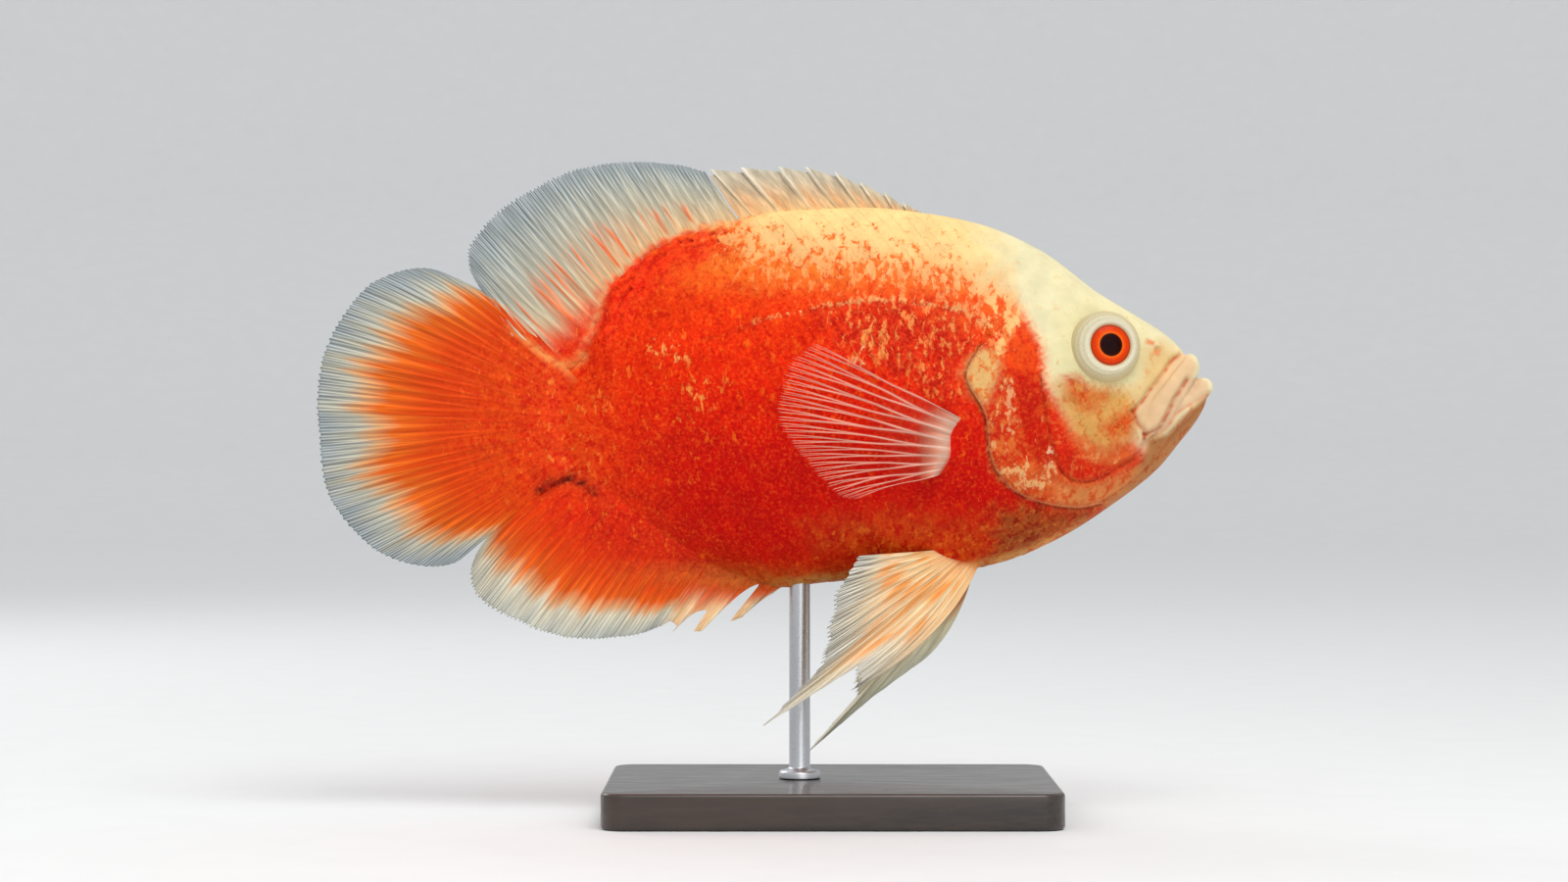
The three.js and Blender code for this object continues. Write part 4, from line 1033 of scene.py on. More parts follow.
def scale_points(name, side):
    found = scale_places(side)
    random = np.random.default_rng(11 + side)
    count = len(found)
    homes, outs, alongs = [], [], []
    for x, y, z, _ in found:
        home, out, _, _ = surface.find_nearest((x, y, z))
        flow = Vector((-1, 0, float(middle(x - 0.004) - middle(x + 0.004)) / 0.008))
        flow -= flow.dot(out) * out
        homes.append(home)
        outs.append(out)
        alongs.append(flow.normalized())
    piece = make_mesh(name, np.array(homes), [])
    across = (found[:, 0] - TAIL_BASE) / SKIN_LENGTH * 0.47 + (0.015 if side < 0 else 0.515)
    patch = np.stack([across, 0.02 + 0.96 * found[:, 3], np.zeros(count)], axis=1)
    for label, values in (("way_out", outs), ("way_back", alongs), ("patch_place", patch)):
        keep_values(piece, label, values, "FLOAT_VECTOR")
    smaller = mix(0.7, 1, ease(found[:, 0], -0.07, -0.02)) * mix(1, 0.86, ease(found[:, 3], 0.86, 1))
    crusty = inside(CRUSTED, found[:, 0], found[:, 2], 0.006)
    keep_values(piece, "growth", smaller * random.uniform(0.94, 1.06, count))
    flatter = mix(1, 0.25, ease(found[:, 0], 0.05, 0.085) * ease(found[:, 2], 0.15, 0.17))
    keep_values(piece, "raised", flatter * (1 + 1.7 * crusty) * random.uniform(0.6, 1.3, count))
    return piece


# %% [markdown]
# The tree itself: instances on the points, turned twice (first their own up to the way out, then
# their length to the way back) and made real. Then every point drops to the nearest place on the
# skin and rises again by the height that its scale gives it. Last come the finish and a UV map in
# which every scale is a tiny patch at its root's place on the unwrapped skin.
# %% The coat of scales as a node tree
PATCH_SIZE = 0.003
CLEARANCE = 0.00002


def coat_tree():
    tree = bpy.data.node_groups.new("scale_coat", "GeometryNodeTree")
    for socket, kind in (
        ("Geometry", "Geometry"), ("Scale shape", "Object"), ("Skin", "Object"), ("Scale size", "Float"),
        ("Finish", "Material"),
    ):
        tree.interface.new_socket(socket, in_out="INPUT", socket_type=f"NodeSocket{kind}")
    tree.interface.new_socket("Geometry", in_out="OUTPUT", socket_type="NodeSocketGeometry")
    start = tree.nodes.new("NodeGroupInput")
    end = tree.nodes.new("NodeGroupOutput")

    def named(name, kind="FLOAT_VECTOR"):
        made = node(tree, "GeometryNodeInputNamedAttribute", {"Name": name}, data_type=kind)
        return made.outputs["Attribute"]

    def summed(first, second):
        return node(tree, "ShaderNodeVectorMath", {0: first, 1: second}, operation="ADD").outputs[0]

    def scaled(vector, factor):
        plugs = {0: vector, "Scale": factor}
        return node(tree, "ShaderNodeVectorMath", plugs, operation="SCALE").outputs[0]

    shape = node(tree, "GeometryNodeObjectInfo", {"Object": start.outputs["Scale shape"]})
    skin_shape = node(tree, "GeometryNodeObjectInfo", {"Object": start.outputs["Skin"]})
    skin_shape = skin_shape.outputs["Geometry"]
    upright = node(tree, "FunctionNodeAlignRotationToVector", {"Vector": named("way_out")}, axis="Z")
    turned = node(tree, "FunctionNodeAlignRotationToVector", {
        "Rotation": upright.outputs["Rotation"], "Vector": named("way_back"),
    }, axis="X", pivot_axis="Z")
    size = times(tree, named("growth", "FLOAT"), start.outputs["Scale size"])
    placed = node(tree, "GeometryNodeInstanceOnPoints", {
        "Points": start.outputs["Geometry"], "Instance": shape.outputs["Geometry"],
        "Rotation": turned.outputs["Rotation"], "Scale": size,
    })
    real = node(tree, "GeometryNodeRealizeInstances", {"Geometry": placed.outputs["Instances"]})
    nearest = node(tree, "GeometryNodeProximity", {"Geometry": skin_shape},
                   target_element="FACES").outputs["Position"]
    out = node(tree, "GeometryNodeSampleNearestSurface", {
        "Mesh": skin_shape, "Value": tree.nodes.new("GeometryNodeInputNormal").outputs["Normal"],
    }, data_type="FLOAT_VECTOR").outputs["Value"]
    rise = node(tree, "ShaderNodeSeparateXYZ", {"Vector": named("lie")}).outputs["Z"]
    proud = plus(tree, times(tree, rise, named("raised", "FLOAT")), CLEARANCE)
    laid = node(tree, "GeometryNodeSetPosition", {
        "Geometry": real.outputs["Geometry"], "Position": summed(nearest, scaled(out, proud)),
    })
    spot = summed(named("patch_place"), scaled(named("patch_shape"), PATCH_SIZE))
    stored = node(tree, "GeometryNodeStoreNamedAttribute", {
        "Geometry": laid.outputs["Geometry"], "Name": "OFBake", "Value": spot,
    }, data_type="FLOAT2", domain="CORNER")
    finished = node(tree, "GeometryNodeSetMaterial", {
        "Geometry": stored.outputs["Geometry"], "Material": start.outputs["Finish"],
    })
    plug(tree, end, {"Geometry": finished.outputs["Geometry"]})
    return tree


def socket_of(tree, name):
    return next(item.identifier for item in tree.interface.items_tree if item.name == name)

# %% [markdown]
# The tree runs on the points of each flank, with its inputs found by name. What it needed on the way
# is dropped, so that the paint and the scales' map are all that stays.
# %% Grow the coat on both flanks
coat = coat_tree()
scales = []
for name, side in (("right", -1), ("left", 1)):
    piece = scale_points(f"scales_{name}", side)
    grow = piece.modifiers.new("Coat", "NODES")
    grow.node_group = coat
    grow[socket_of(coat, "Scale shape")] = scale_shape
    grow[socket_of(coat, "Skin")] = skin
    grow[socket_of(coat, "Scale size")] = 1.0
    grow[socket_of(coat, "Finish")] = scale_finish
    settle(piece)
    for extra in ("way_out", "way_back", "patch_place", "patch_shape", "growth", "raised", "lie"):
        layer = piece.data.attributes.get(extra)
        if layer is not None:
            piece.data.attributes.remove(layer)
    paint_piece(piece)
    shade_smooth(piece)
    scales.append(piece)
    print(piece.name, "has", len(piece.data.polygons), "faces, UV maps",
          [m.name for m in piece.data.uv_layers])
bpy.data.objects.remove(scale_shape)

# %% [markdown]
# ## Fins
# A fin is a thin web held out by rays. A soft ray starts as one bone at the root and splits again
# and again on its way to the margin, so the margin ends in a fringe of fine tips. A spine is a
# single sharp bone. Both are columns of one sheet here: a column has a root, a tip, a bend at each
# end, and its number along the fin, counted in rays.
# %% Columns of a fin
def ray_columns(count, root_line, margin_line, bends, per_ray=20, first=0):
    """Columns for soft rays: `bends` gives both bends of the column at a share u along the fin"""
    u = np.linspace(0, 1, per_ray * (count - 1) + 1)
    low, high = bends(u)
    return dict(
        root=curve(root_line, u), tip=curve(margin_line, u), low=low, high=high, u=u,
        place=first + u * (count - 1), soft=np.ones(len(u)), drop=np.zeros(len(u)),
    )


def spine_columns(tips, roots, per_gap, notches, blades, last, climb=0.8):
    """Columns for spines: behind each one its own web ends, and the next one's edge climbs to its tip"""
    tips, roots = [*tips, last[1]], [*roots, last[0]]
    place = np.linspace(0, len(tips) - 1, per_gap * (len(tips) - 1) + 1)[:-1]
    share = place % 1
    index = np.arange(len(tips))
    tip, root = read_off(place, index, tips), read_off(place, index, roots)
    lengths = np.linalg.norm(tip - root, axis=1)
    notch, blade = [np.array(values)[place.astype(int)] for values in (notches, blades)]
    rising = (1 - share) ** climb if climb < 1 else 1 - share**climb
    gone = notch * rising * ease(share, 0.65 * blade, blade)
    drop = np.minimum(gone / lengths, 0.78)
    none = np.zeros_like(tip)
    return dict(root=root, tip=tip, low=none, high=none, u=0 * place, place=place, soft=0 * place,
                drop=drop)


def together(*runs):
    return {key: np.concatenate([run[key] for run in runs]) for key in runs[0]}


# %% [markdown]
# Where a branch lies is worked out by folding: take the distance to the nearest ray, and each time
# the ray splits, fold that distance about half a branch's width. After two folds it is the distance
# to the nearest of four branches. The finish below repeats the same sum in its nodes and adds a
# third fold, too fine for the mesh, so the paint follows the ridges and stays sharp.
# %% The branching of a soft ray
SPLITS = [(0.16, 0.5, 0.25), (0.46, 0.86, 0.125), (0.62, 1.0, 0.06)]
WANDER = [(2.3, 1.1, 0.05), (5.1, 0.0, 0.035)]
RAY_WIDTH = 0.15
SPINE_WIDTH = 0.07
NARROWER = 0.58


def branches(place, v, soft):
    """How much of a ray there is at each place: 1 along the middle of a branch, 0 on the web"""
    wander = sum(height * np.sin(place * turn + shift) for turn, shift, height in WANDER)
    offset = place + wander * v * soft
    offset = offset - np.round(offset)
    width = mix(SPINE_WIDTH, RAY_WIDTH, soft)
    for start, end, reach in SPLITS[:2]:
        open_up = ease(v, start, end) * soft
        offset = np.abs(offset) - reach * open_up
        width = width * mix(1, NARROWER, open_up)
    return bell(offset, width)


# %% [markdown]
# The sheet has a front and a back face that share the same middle, so it is closed and has a real
# thickness: fleshy at its root, thin on the web, and raised along every branch.
# %% Make a fin's sheet
def cubic(root, tip, low, high, v):
    first = mix(root, tip, 1 / 3) + low
    second = mix(root, tip, 2 / 3) + high
    a, b, c, d = [part[:, None, :] for part in (root, first, second, tip)]
    w = 1 - v
    return w**3 * a + 3 * w * w * v * b + 3 * w * v * v * c + v**3 * d


def make_fin(name, columns, rows, side_at, root_half, web=0.00022, rise=0.0003, fringe=0.03, deeper=0.0,
             flesh_share=0.35, lead=0.0, seed=3):
    random = np.random.default_rng(seed)
    place, u, soft = columns["place"], columns["u"], columns["soft"]
    fine = random.uniform(0, 1, 400)[(np.floor((place + 0.03) * 8).astype(int)) % 400]
    coarse = random.uniform(0, 1, 80)[np.round(place).astype(int) % 80]
    tipped = branches(place, np.ones(len(place)), soft)
    reach = 1 - soft * fringe * ((1 - tipped) + 0.4 * fine + 0.25 * coarse) - columns["drop"]
    v = np.linspace(0, 1, rows + 1)[None, :]
    way = (v * reach[:, None])[..., None]
    flat = cubic(columns["root"], columns["tip"], columns["low"], columns["high"], way)
    way = way[..., 0]
    if deeper:
        inward = flat[:, :1] - flat[:, 1:2]
        inward /= np.linalg.norm(inward, axis=-1, keepdims=True)
        flat[:, :1] += inward * deeper
    bone = branches(place[:, None], way, soft[:, None])
    side = side_at(u[:, None], way, place[:, None])
    half = web + (root_half - web) * np.maximum(0, 1 - way / flesh_share) ** 2
    half = half + rise * bone * ease(way, 0.02, 0.2) * (1 - 0.6 * way * soft[:, None])
    half = half + lead * bell(u[:, None], 0.05) * (1 - 0.7 * way)
    half = half * mix(1, 0.55, ease(way, 0.93, 1))
    near = np.stack([flat[..., 0], side - half, flat[..., 1]], axis=-1)
    far = np.stack([flat[..., 0], side + half, flat[..., 1]], axis=-1)
    piece = sheet_mesh(name, near, far)
    grid = dict(u=u[:, None] + 0 * way, v=way, bone=bone, place=place[:, None] + 0 * way,
                soft=soft[:, None] + 0 * way)
    return piece, {key: np.concatenate([value.ravel()] * 2) for key, value in grid.items()}


def sheet_mesh(name, near, far):
    wide, tall = near.shape[:2]
    points = np.concatenate([near.reshape(-1, 3), far.reshape(-1, 3)])
    index = np.arange(wide * tall).reshape(wide, tall)
    back_side = wide * tall
    a, b, c, d = index[:-1, :-1], index[1:, :-1], index[1:, 1:], index[:-1, 1:]
    front = np.stack([a, b, c, d], axis=-1).reshape(-1, 4)
    rear = np.stack([a, d, c, b], axis=-1).reshape(-1, 4) + back_side
    rim = np.concatenate([index[:, 0], index[-1, 1:], index[-2::-1, -1], index[0, -2:0:-1]])
    following = np.roll(rim, -1)
    wall = np.stack([rim, rim + back_side, following + back_side, following], axis=-1)
    faces = np.concatenate([front, rear, wall]).tolist()
    return outward(make_mesh(name, points, faces))


# %% [markdown]
# What is painted on a fin: one colour for the rays and one for the web between them, how far the
# skin of the body runs up on it, how clear its web is, and a map with one unit for each ray.
# %% Paint on a fin
def dress_fin(piece, grid, rays, web, flesh, clear=0.0):
    paint_piece(piece)
    full = np.ones(len(grid["v"]))
    keep_values(piece, "ray_tone", rays)
    keep_values(piece, "web_tone", web)
    for name, values in (("flesh", flesh), ("clear", clear * full), ("soft", grid["soft"])):
        keep_values(piece, name, values)
    layer = piece.data.uv_layers.new(name="rays")
    corners = np.empty(len(piece.data.loops), dtype=np.int32)
    piece.data.loops.foreach_get("vertex_index", corners)
    uv = np.stack([grid["place"], grid["v"]], axis=1)[corners]
    layer.data.foreach_set("uv", uv.astype(np.float32).ravel())
    print(piece.name, "has", len(piece.data.polygons), "faces")


def wave(height, turns, start):
    return lambda u, v, place: (
        height * v * v * np.sin(2 * np.pi * turns * u + start) + 0.0005 * v**3 * np.sin(place * 3.1)
    )


def both_tones(reached, stops):
    """The colours of the rays and of the web, from stops that give a place and both of them"""
    return [layered(reached, [(stop[0], stop[k]) for stop in stops]) for k in (1, 2)]


def both_ends(low, high, weight):
    return weight[:, None] * np.array(low), weight[:, None] * np.array(high)


def ragged(grid, step, amount, seed):
    """A wobble that differs from ray to ray, for the ends of the coloured part"""
    knots = np.random.default_rng(seed).uniform(-1, 1, 400)
    return amount * np.interp(grid["place"] * step, np.arange(400), knots)


# %% [markdown]
# ## The tail fin
# It opens like a fan from the tail stalk, orange where the flesh runs into it and pale grey along
# the margin, where only the fine tips of the rays are left.
# %% Tail fin
TAIL_ROOT = [(-0.0676, 0.151), (-0.0716, 0.144), (-0.0736, 0.131), (-0.072, 0.119), (-0.0696, 0.112)]
TAIL_MARGIN = [
    (-0.1023, 0.178), (-0.1102, 0.1826), (-0.1184, 0.1834), (-0.1278, 0.1808), (-0.1364, 0.1752),
    (-0.1468, 0.1593), (-0.1504, 0.1446), (-0.1504, 0.131), (-0.1481, 0.111), (-0.1428, 0.1004),
    (-0.1342, 0.0909), (-0.1244, 0.0852), (-0.1132, 0.0829), (-0.1044, 0.0842), (-0.0986, 0.089),
]
caudal_columns = ray_columns(
    21, TAIL_ROOT, TAIL_MARGIN,
    lambda u: both_ends((0.002, 0.0014), (0.005, 0.0054), np.maximum(0, 1 - 2 * u) ** 2),
)
caudal, grid = make_fin("tail_fin", caudal_columns, rows=84, side_at=wave(0.0012, 1, 1),
                        root_half=0.0034, deeper=0.009, flesh_share=0.36, rise=0.0002, fringe=0.008)
lobe = np.abs(2 * grid["u"] - 1)
reached = grid["v"] + 0.13 * lobe**3 + ragged(grid, 4, 0.05, 5) + ragged(grid, 1.3, 0.04, 6)
caudal_rays, caudal_web = both_tones(reached, [
    (0.0, (222, 48, 6), (216, 36, 4)), (0.25, (228, 62, 6), (214, 50, 4)),
    (0.5, (234, 80, 10), (214, 64, 6)), (0.68, (240, 114, 30), (216, 90, 22)),
    (0.78, (232, 172, 116), (196, 142, 98)), (0.86, (206, 200, 178), (156, 154, 140)),
    (1.0, (190, 196, 196), (120, 130, 134)),
])
dress_fin(caudal, grid, caudal_rays, caudal_web, 1 - ease(grid["v"] + ragged(grid, 2, 0.06, 7), 0.1, 0.6))

# %% [markdown]
# ## The fins of the back
# The front part has short spines joined by a low web, each leaning back. The rear part is soft and
# tall and sweeps back over the tail stalk.
# %% Soft rays of the back
BACK_FIN_ROOT = [
    (-0.0086, 0.1986), (-0.0293, 0.1936), (-0.0384, 0.1884), (-0.0462, 0.1816), (-0.0518, 0.174),
    (-0.056, 0.1636), (-0.072, 0.1464),
]
BACK_FIN_MARGIN = [
    (-0.0204, 0.2158), (-0.0299, 0.2183), (-0.0439, 0.2194), (-0.0572, 0.2182), (-0.0684, 0.215),
    (-0.0784, 0.21), (-0.0876, 0.2044), (-0.0948, 0.1976), (-0.0996, 0.1907), (-0.0998, 0.1836),
    (-0.0966, 0.1776),
]
dorsal_columns = ray_columns(
    19, BACK_FIN_ROOT, BACK_FIN_MARGIN,
    lambda u: both_ends((-0.0034, -0.0034), (0, 0), u**4),
)
soft_dorsal, grid = make_fin("back_fin_soft", dorsal_columns, rows=74, side_at=wave(0.0014, 1.2, 0),
                             root_half=0.0024, deeper=0.003, fringe=0.018, seed=8)
reached = grid["v"] + ragged(grid, 3, 0.05, 6)
dorsal_rays, dorsal_web = both_tones(reached, [
    (0.0, (230, 186, 134), (224, 176, 124)), (0.15, (224, 192, 146), (212, 180, 138)),
    (0.4, (208, 196, 168), (192, 180, 154)), (0.7, (194, 194, 182), (158, 160, 150)),
    (0.88, (186, 192, 190), (126, 136, 138)), (1.0, (206, 210, 210), (112, 122, 128)),
])
rear = ease(grid["u"], 0.1, 0.8)
dash = ease(reached, 0.06, 0.14) * (1 - ease(reached, 0.3 + 0.12 * rear, 0.46 + 0.14 * rear))
picked = ease(ragged(grid, 5, 1, 3), -0.3, 0.5)
dashed = ease(grid["u"], 0.06, 0.2) * dash * picked
dorsal_rays = over(dorsal_rays, (238, 106, 44), 0.9 * dashed)
dorsal_web = over(dorsal_web, (236, 124, 66), 0.4 * rear * dashed)
warm = ease(grid["u"], 0.55, 1.0) * (1 - ease(reached, 0.04, 0.24))
dorsal_rays = over(dorsal_rays, (238, 72, 20), warm)
dorsal_web = over(dorsal_web, (230, 76, 26), 0.8 * warm)
dress_fin(soft_dorsal, grid, dorsal_rays, dorsal_web,
          1 - ease(grid["v"] + ragged(grid, 3, 0.04, 5), 0.0, 0.1 + 0.24 * ease(grid["u"], 0.5, 0.9)))

# %% [markdown]
# Nine spines stand clear of the back. Each leans back, its web is notched behind it, and a thin dark
# line of painted shadow follows it on the web.
# %% Spines of the back
SPINE_SLANT = 0.86
dorsal_tips = np.array([
    (0.0514, 0.2038), (0.0459, 0.2057), (0.0394, 0.2092), (0.0313, 0.2126), (0.023, 0.2158),
    (0.0135, 0.2173), (0.0042, 0.2175), (-0.0084, 0.2172), (-0.0186, 0.2166),
])
lean = np.maximum(SPINE_SLANT * (dorsal_tips[:, 1] - back(dorsal_tips[:, 0])), 0.0026)
feet = dorsal_tips[:, 0] + lean
dorsal_roots = np.stack([feet, back(feet) - 0.0024], axis=1)
spiny_columns = spine_columns(
    dorsal_tips, dorsal_roots, per_gap=24, notches=[0.0026] * 9, blades=[0.02] * 9,
    last=((-0.007, 0.197), (-0.019, 0.2145)),
)
spiny, grid = make_fin(
    "back_fin_spines", spiny_columns, rows=34,
    side_at=lambda u, v, place: 0.0002 * np.sin(place * 6.28) * v,
    root_half=0.0014, web=0.0002, rise=0.00055, flesh_share=0.5,
)
share = grid["place"] % 1
spiny_web = layered(grid["v"], [
    (0.0, (238, 200, 142)), (0.25, (226, 184, 134)), (0.55, (208, 182, 148)), (1.0, (198, 190, 170)),
])
tinted = (1 - ease(grid["v"], 0.25, 0.75)) * ease(share, 0.25, 0.9)
spiny_web = over(spiny_web, (236, 166, 108), 0.6 * tinted)
# A painted shadow: a thin dark line on the web just behind each spine
shadow_behind_spine = bell(share - 0.12, 0.045) * ease(grid["v"], 0.2, 0.55)
spiny_web = over(spiny_web, (124, 112, 98), 0.75 * shadow_behind_spine)
spiny_rays = layered(grid["v"], [(0.0, (240, 202, 144)), (0.4, (222, 200, 164)), (1.0, (236, 230, 214))])
dress_fin(spiny, grid, spiny_rays, spiny_web, 1 - ease(grid["v"], 0.02, 0.2))

# %% [markdown]
# ## The fin under the tail
# Four spines lead it: a stub, two blades that stand clear of the web, and one that holds its front
# edge. The soft rays behind them mirror the fin of the back.
# %% Anal fin
ANAL_TIPS = [(0.0039, 0.0752), (-0.0079, 0.066), (-0.0213, 0.0614), (-0.0313, 0.0608)]
ANAL_FEET = [(0.0092, 0.0786), (0.0052, 0.0798), (-0.0036, 0.0824), (-0.0128, 0.0855)]
anal_spines = spine_columns(
    ANAL_TIPS, ANAL_FEET, per_gap=26, notches=[0.004, 0.018, 0.0095, 0.003],
    blades=[0.4, 0.45, 0.42, 0.02], last=((-0.018, 0.0864), (-0.0344, 0.0632)), climb=7,
)
ANAL_ROOT = [
    (-0.018, 0.0862), (-0.0266, 0.0894), (-0.037, 0.095), (-0.0464, 0.1014), (-0.054, 0.1086),
    (-0.062, 0.113), (-0.0695, 0.1134),
]
ANAL_MARGIN = [
    (-0.0344, 0.0632), (-0.0421, 0.0602), (-0.0516, 0.0588), (-0.0635, 0.0585), (-0.0739, 0.0605),
    (-0.0834, 0.0644), (-0.0924, 0.0686), (-0.0979, 0.0744), (-0.0994, 0.0805), (-0.0976, 0.0864),
]
anal_rays = ray_columns(
    15, ANAL_ROOT, ANAL_MARGIN,
    lambda u: both_ends((-0.0026, 0.0034), (-0.0026, 0.0034), u**3), first=4,
)
anal, grid = make_fin("anal_fin_sheet", together(anal_spines, anal_rays), rows=74,
                      side_at=wave(0.0012, 1, 2), root_half=0.0028, deeper=0.004, flesh_share=0.32,
                      fringe=0.018, seed=12)
reached = grid["v"] + ragged(grid, 3, 0.05, 9) - 0.06 * grid["u"]
anal_tone, anal_web = both_tones(reached, [
    (0.0, (210, 30, 4), (204, 22, 4)), (0.2, (230, 58, 8), (222, 48, 6)),
    (0.45, (236, 80, 12), (226, 66, 10)), (0.6, (240, 108, 32), (224, 88, 24)),
    (0.7, (240, 176, 120), (222, 154, 106)), (0.78, (232, 222, 196), (208, 198, 174)),
    (0.9, (224, 222, 206), (182, 182, 168)), (1.0, (220, 222, 214), (160, 164, 158)),
])
anal_web = over(anal_web, (128, 112, 92), 0.5 * ease(grid["u"], 0.62, 0.9) * ease(reached, 0.5, 0.75))
blades = (1 - ease(grid["place"], 3.4, 4.6)) * ease(grid["v"], 0.3, 0.75)
anal_tone = over(anal_tone, (246, 220, 180), blades)
anal_web = over(anal_web, (240, 196, 146), blades * (1 - 0.6 * ease(grid["place"] % 1, 0.3, 0.9)))
dress_fin(anal, grid, anal_tone, anal_web, 1 - ease(grid["v"] + ragged(grid, 2, 0.06, 4), 0.1, 0.6))

# %% [markdown]
# ## The paired fins
# The chest fins are the clearest of all: only their rays show, white against the red flank, and the
# web between them lets the body's colour through. Their roots are thick and white.
# %% Pectoral fins
PECTORAL_ROOT = [(0.0676, 0.1311), (0.0644, 0.1264), (0.0632, 0.1204), (0.0586, 0.1144)]
PECTORAL_MARGIN = [
    (0.013, 0.1584), (0.0044, 0.1508), (0.0016, 0.138), (0.002, 0.1298), (0.0074, 0.1226),
    (0.0122, 0.1172), (0.017, 0.1118), (0.0208, 0.108), (0.0252, 0.1058), (0.029, 0.1054),
]
pectorals = {}
for name, side in (("right", -1), ("left", 1)):
    columns = ray_columns(9, PECTORAL_ROOT, PECTORAL_MARGIN,
                          lambda u: (np.zeros((len(u), 2)), np.ones((len(u), 1)) * [0, 0.002]),
                          per_ray=32)
    piece, grid = make_fin(
        f"chest_fin_{name}", columns, rows=72,
        side_at=lambda u, v, place, side=side: side * (
            0.0204 + 0.0056 * ease(v, 0, 0.12) + 0.011 * v**1.2 + 0.0004 * v**2 * np.sin(place * 4)
        ),
        root_half=0.0013, web=0.00014, rise=0.00026, flesh_share=0.3, fringe=0.06, deeper=0.002, seed=21,
    )
    rays = layered(grid["v"], [
        (0.0, (226, 130, 90)), (0.07, (232, 200, 178)), (0.22, (236, 178, 158)), (1.0, (238, 160, 136)),
    ])
    web = layered(grid["v"], [
        (0.0, (220, 100, 62)), (0.07, (226, 180, 156)), (0.14, (224, 140, 112)), (0.3, (222, 80, 50)),
        (1.0, (226, 84, 56)),
    ])
    start = 0.07 + 0.05 * grid["u"] + ragged(grid, 2, 0.02, 8)
    clear = ease(grid["v"], start, start + 0.16) * mix(0.95, 1.3, ease(grid["v"], 0.3, 1))
    dress_fin(piece, grid, rays, web, 1 - ease(grid["v"], 0.01, 0.03 + 0.05 * grid["u"]), clear)
    pectorals[name] = piece

# %% [markdown]
# The belly fins hang down and back. Their first rays are the longest and are drawn out into thin
# threads, and the rear edge is a row of fine white tips.
# %% Pelvic fins
PELVIC = {
    "right": dict(roots=[(0.0716, 0.0846), (0.0574, 0.089)],
                  tips=[(0.0269, 0.0424), (0.0288, 0.0436), (0.0306, 0.0452), (0.0288, 0.0499),
                        (-0.0022, 0.03), (0.0176, 0.0502), (0.0182, 0.0546), (0.0202, 0.0586),
                        (0.0198, 0.0634), (0.022, 0.0686), (0.022, 0.0738), (0.0258, 0.0796),
                        (0.0304, 0.0874)], low=(0.005, -0.0066), high=(0.0042, -0.0062), fade=4),
    "left": dict(roots=[(0.071, 0.0846), (0.0574, 0.089)],
                 tips=[(0.0526, 0.0494), (0.0348, 0.0363), (0.011, 0.0156), (0.0302, 0.0371),
                       (0.0296, 0.0416), (0.0308, 0.0464), (0.0296, 0.052), (0.0314, 0.058),
                       (0.0308, 0.063), (0.0332, 0.069), (0.033, 0.074), (0.036, 0.08), (0.0384, 0.0864)],
                 low=(0.0034, -0.0032), high=(0.0025, -0.0054), fade=3),
}


def near_colours(grid):
    """Cream with rows of orange blotches, and a rear margin of white rays on a dark web"""
    reached = grid["v"] + ragged(grid, 4, 0.05, 14)
    rays, web = both_tones(reached, [
        (0.0, (246, 190, 130), (240, 170, 110)), (0.12, (250, 218, 166), (246, 196, 136)),
        (0.5, (248, 222, 180), (240, 196, 146)), (0.75, (236, 222, 194), (206, 188, 158)),
        (1.0, (240, 238, 228), (190, 184, 170)),
    ])
    waves = np.sin(grid["place"] * 2.6 + 0.4) * np.sin(15 * grid["v"] + grid["place"] * 1.7)
    spots = waves + 0.35 * ragged(grid, 9, 1, 2)
    orange = ease(spots, -0.3, 0.8) * ease(grid["v"], 0.06, 0.2)
    orange = orange * (1 - ease(grid["v"], 0.5, 0.78)) * ease(grid["u"], 0.1, 0.2)
    rays = over(rays, (250, 170, 88), 0.7 * orange)
    web = over(web, (250, 150, 56), 0.8 * orange)
    margin = ease(reached, 0.62, 0.9) * ease(grid["u"], 0.34, 0.46)
    return rays, over(web, (112, 112, 104), 0.7 * margin)


def far_colours(grid):
    """Brown where it hangs in the shade of the body, then a greenish grey"""
    reached = grid["v"] + ragged(grid, 4, 0.05, 14)
    rays, web = both_tones(reached, [
        (0.0, (190, 106, 60), (180, 98, 54)), (0.3, (214, 150, 98), (204, 138, 88)),
        (0.5, (244, 236, 198), (230, 222, 184)), (1.0, (250, 250, 226), (228, 230, 208)),
    ])
    return rays, web


pelvics = {}
for name, side, colours in (("right", -1, near_colours), ("left", 1, far_colours)):
    form = PELVIC[name]
    count = len(form["tips"])
    u = np.linspace(0, 1, 22 * (count - 1) + 1)
    front, rear = np.array(form["roots"])
    weight = (1 - u) ** form["fade"]
    low, high = both_ends(form["low"], form["high"], weight)
    columns = dict(
        root=mix(front, rear, u[:, None]), low=low, high=high, u=u, place=u * (count - 1) / 1.2,
        tip=read_off(u, np.linspace(0, 1, count), form["tips"]),
        soft=np.ones(len(u)), drop=np.zeros(len(u)),
    )
    piece, grid = make_fin(
        f"belly_fin_{name}", columns, rows=84,
        side_at=lambda u, v, place, side=side: side * (
            mix(0.0054, 0.0106, u) + 0.0044 * ease(v, 0, 0.16) + mix(0.013, 0.008, u) * v
            + 0.0004 * v * np.sin(place * 6.28)
        ),
        root_half=0.0014, web=0.0002, rise=0.00034, fringe=0.03, deeper=0.003, lead=0.0004, seed=31,
    )
    rays, web = colours(grid)
    dress_fin(piece, grid, rays, web, 1 - ease(grid["v"], 0.01, 0.06))
    pelvics[name] = piece

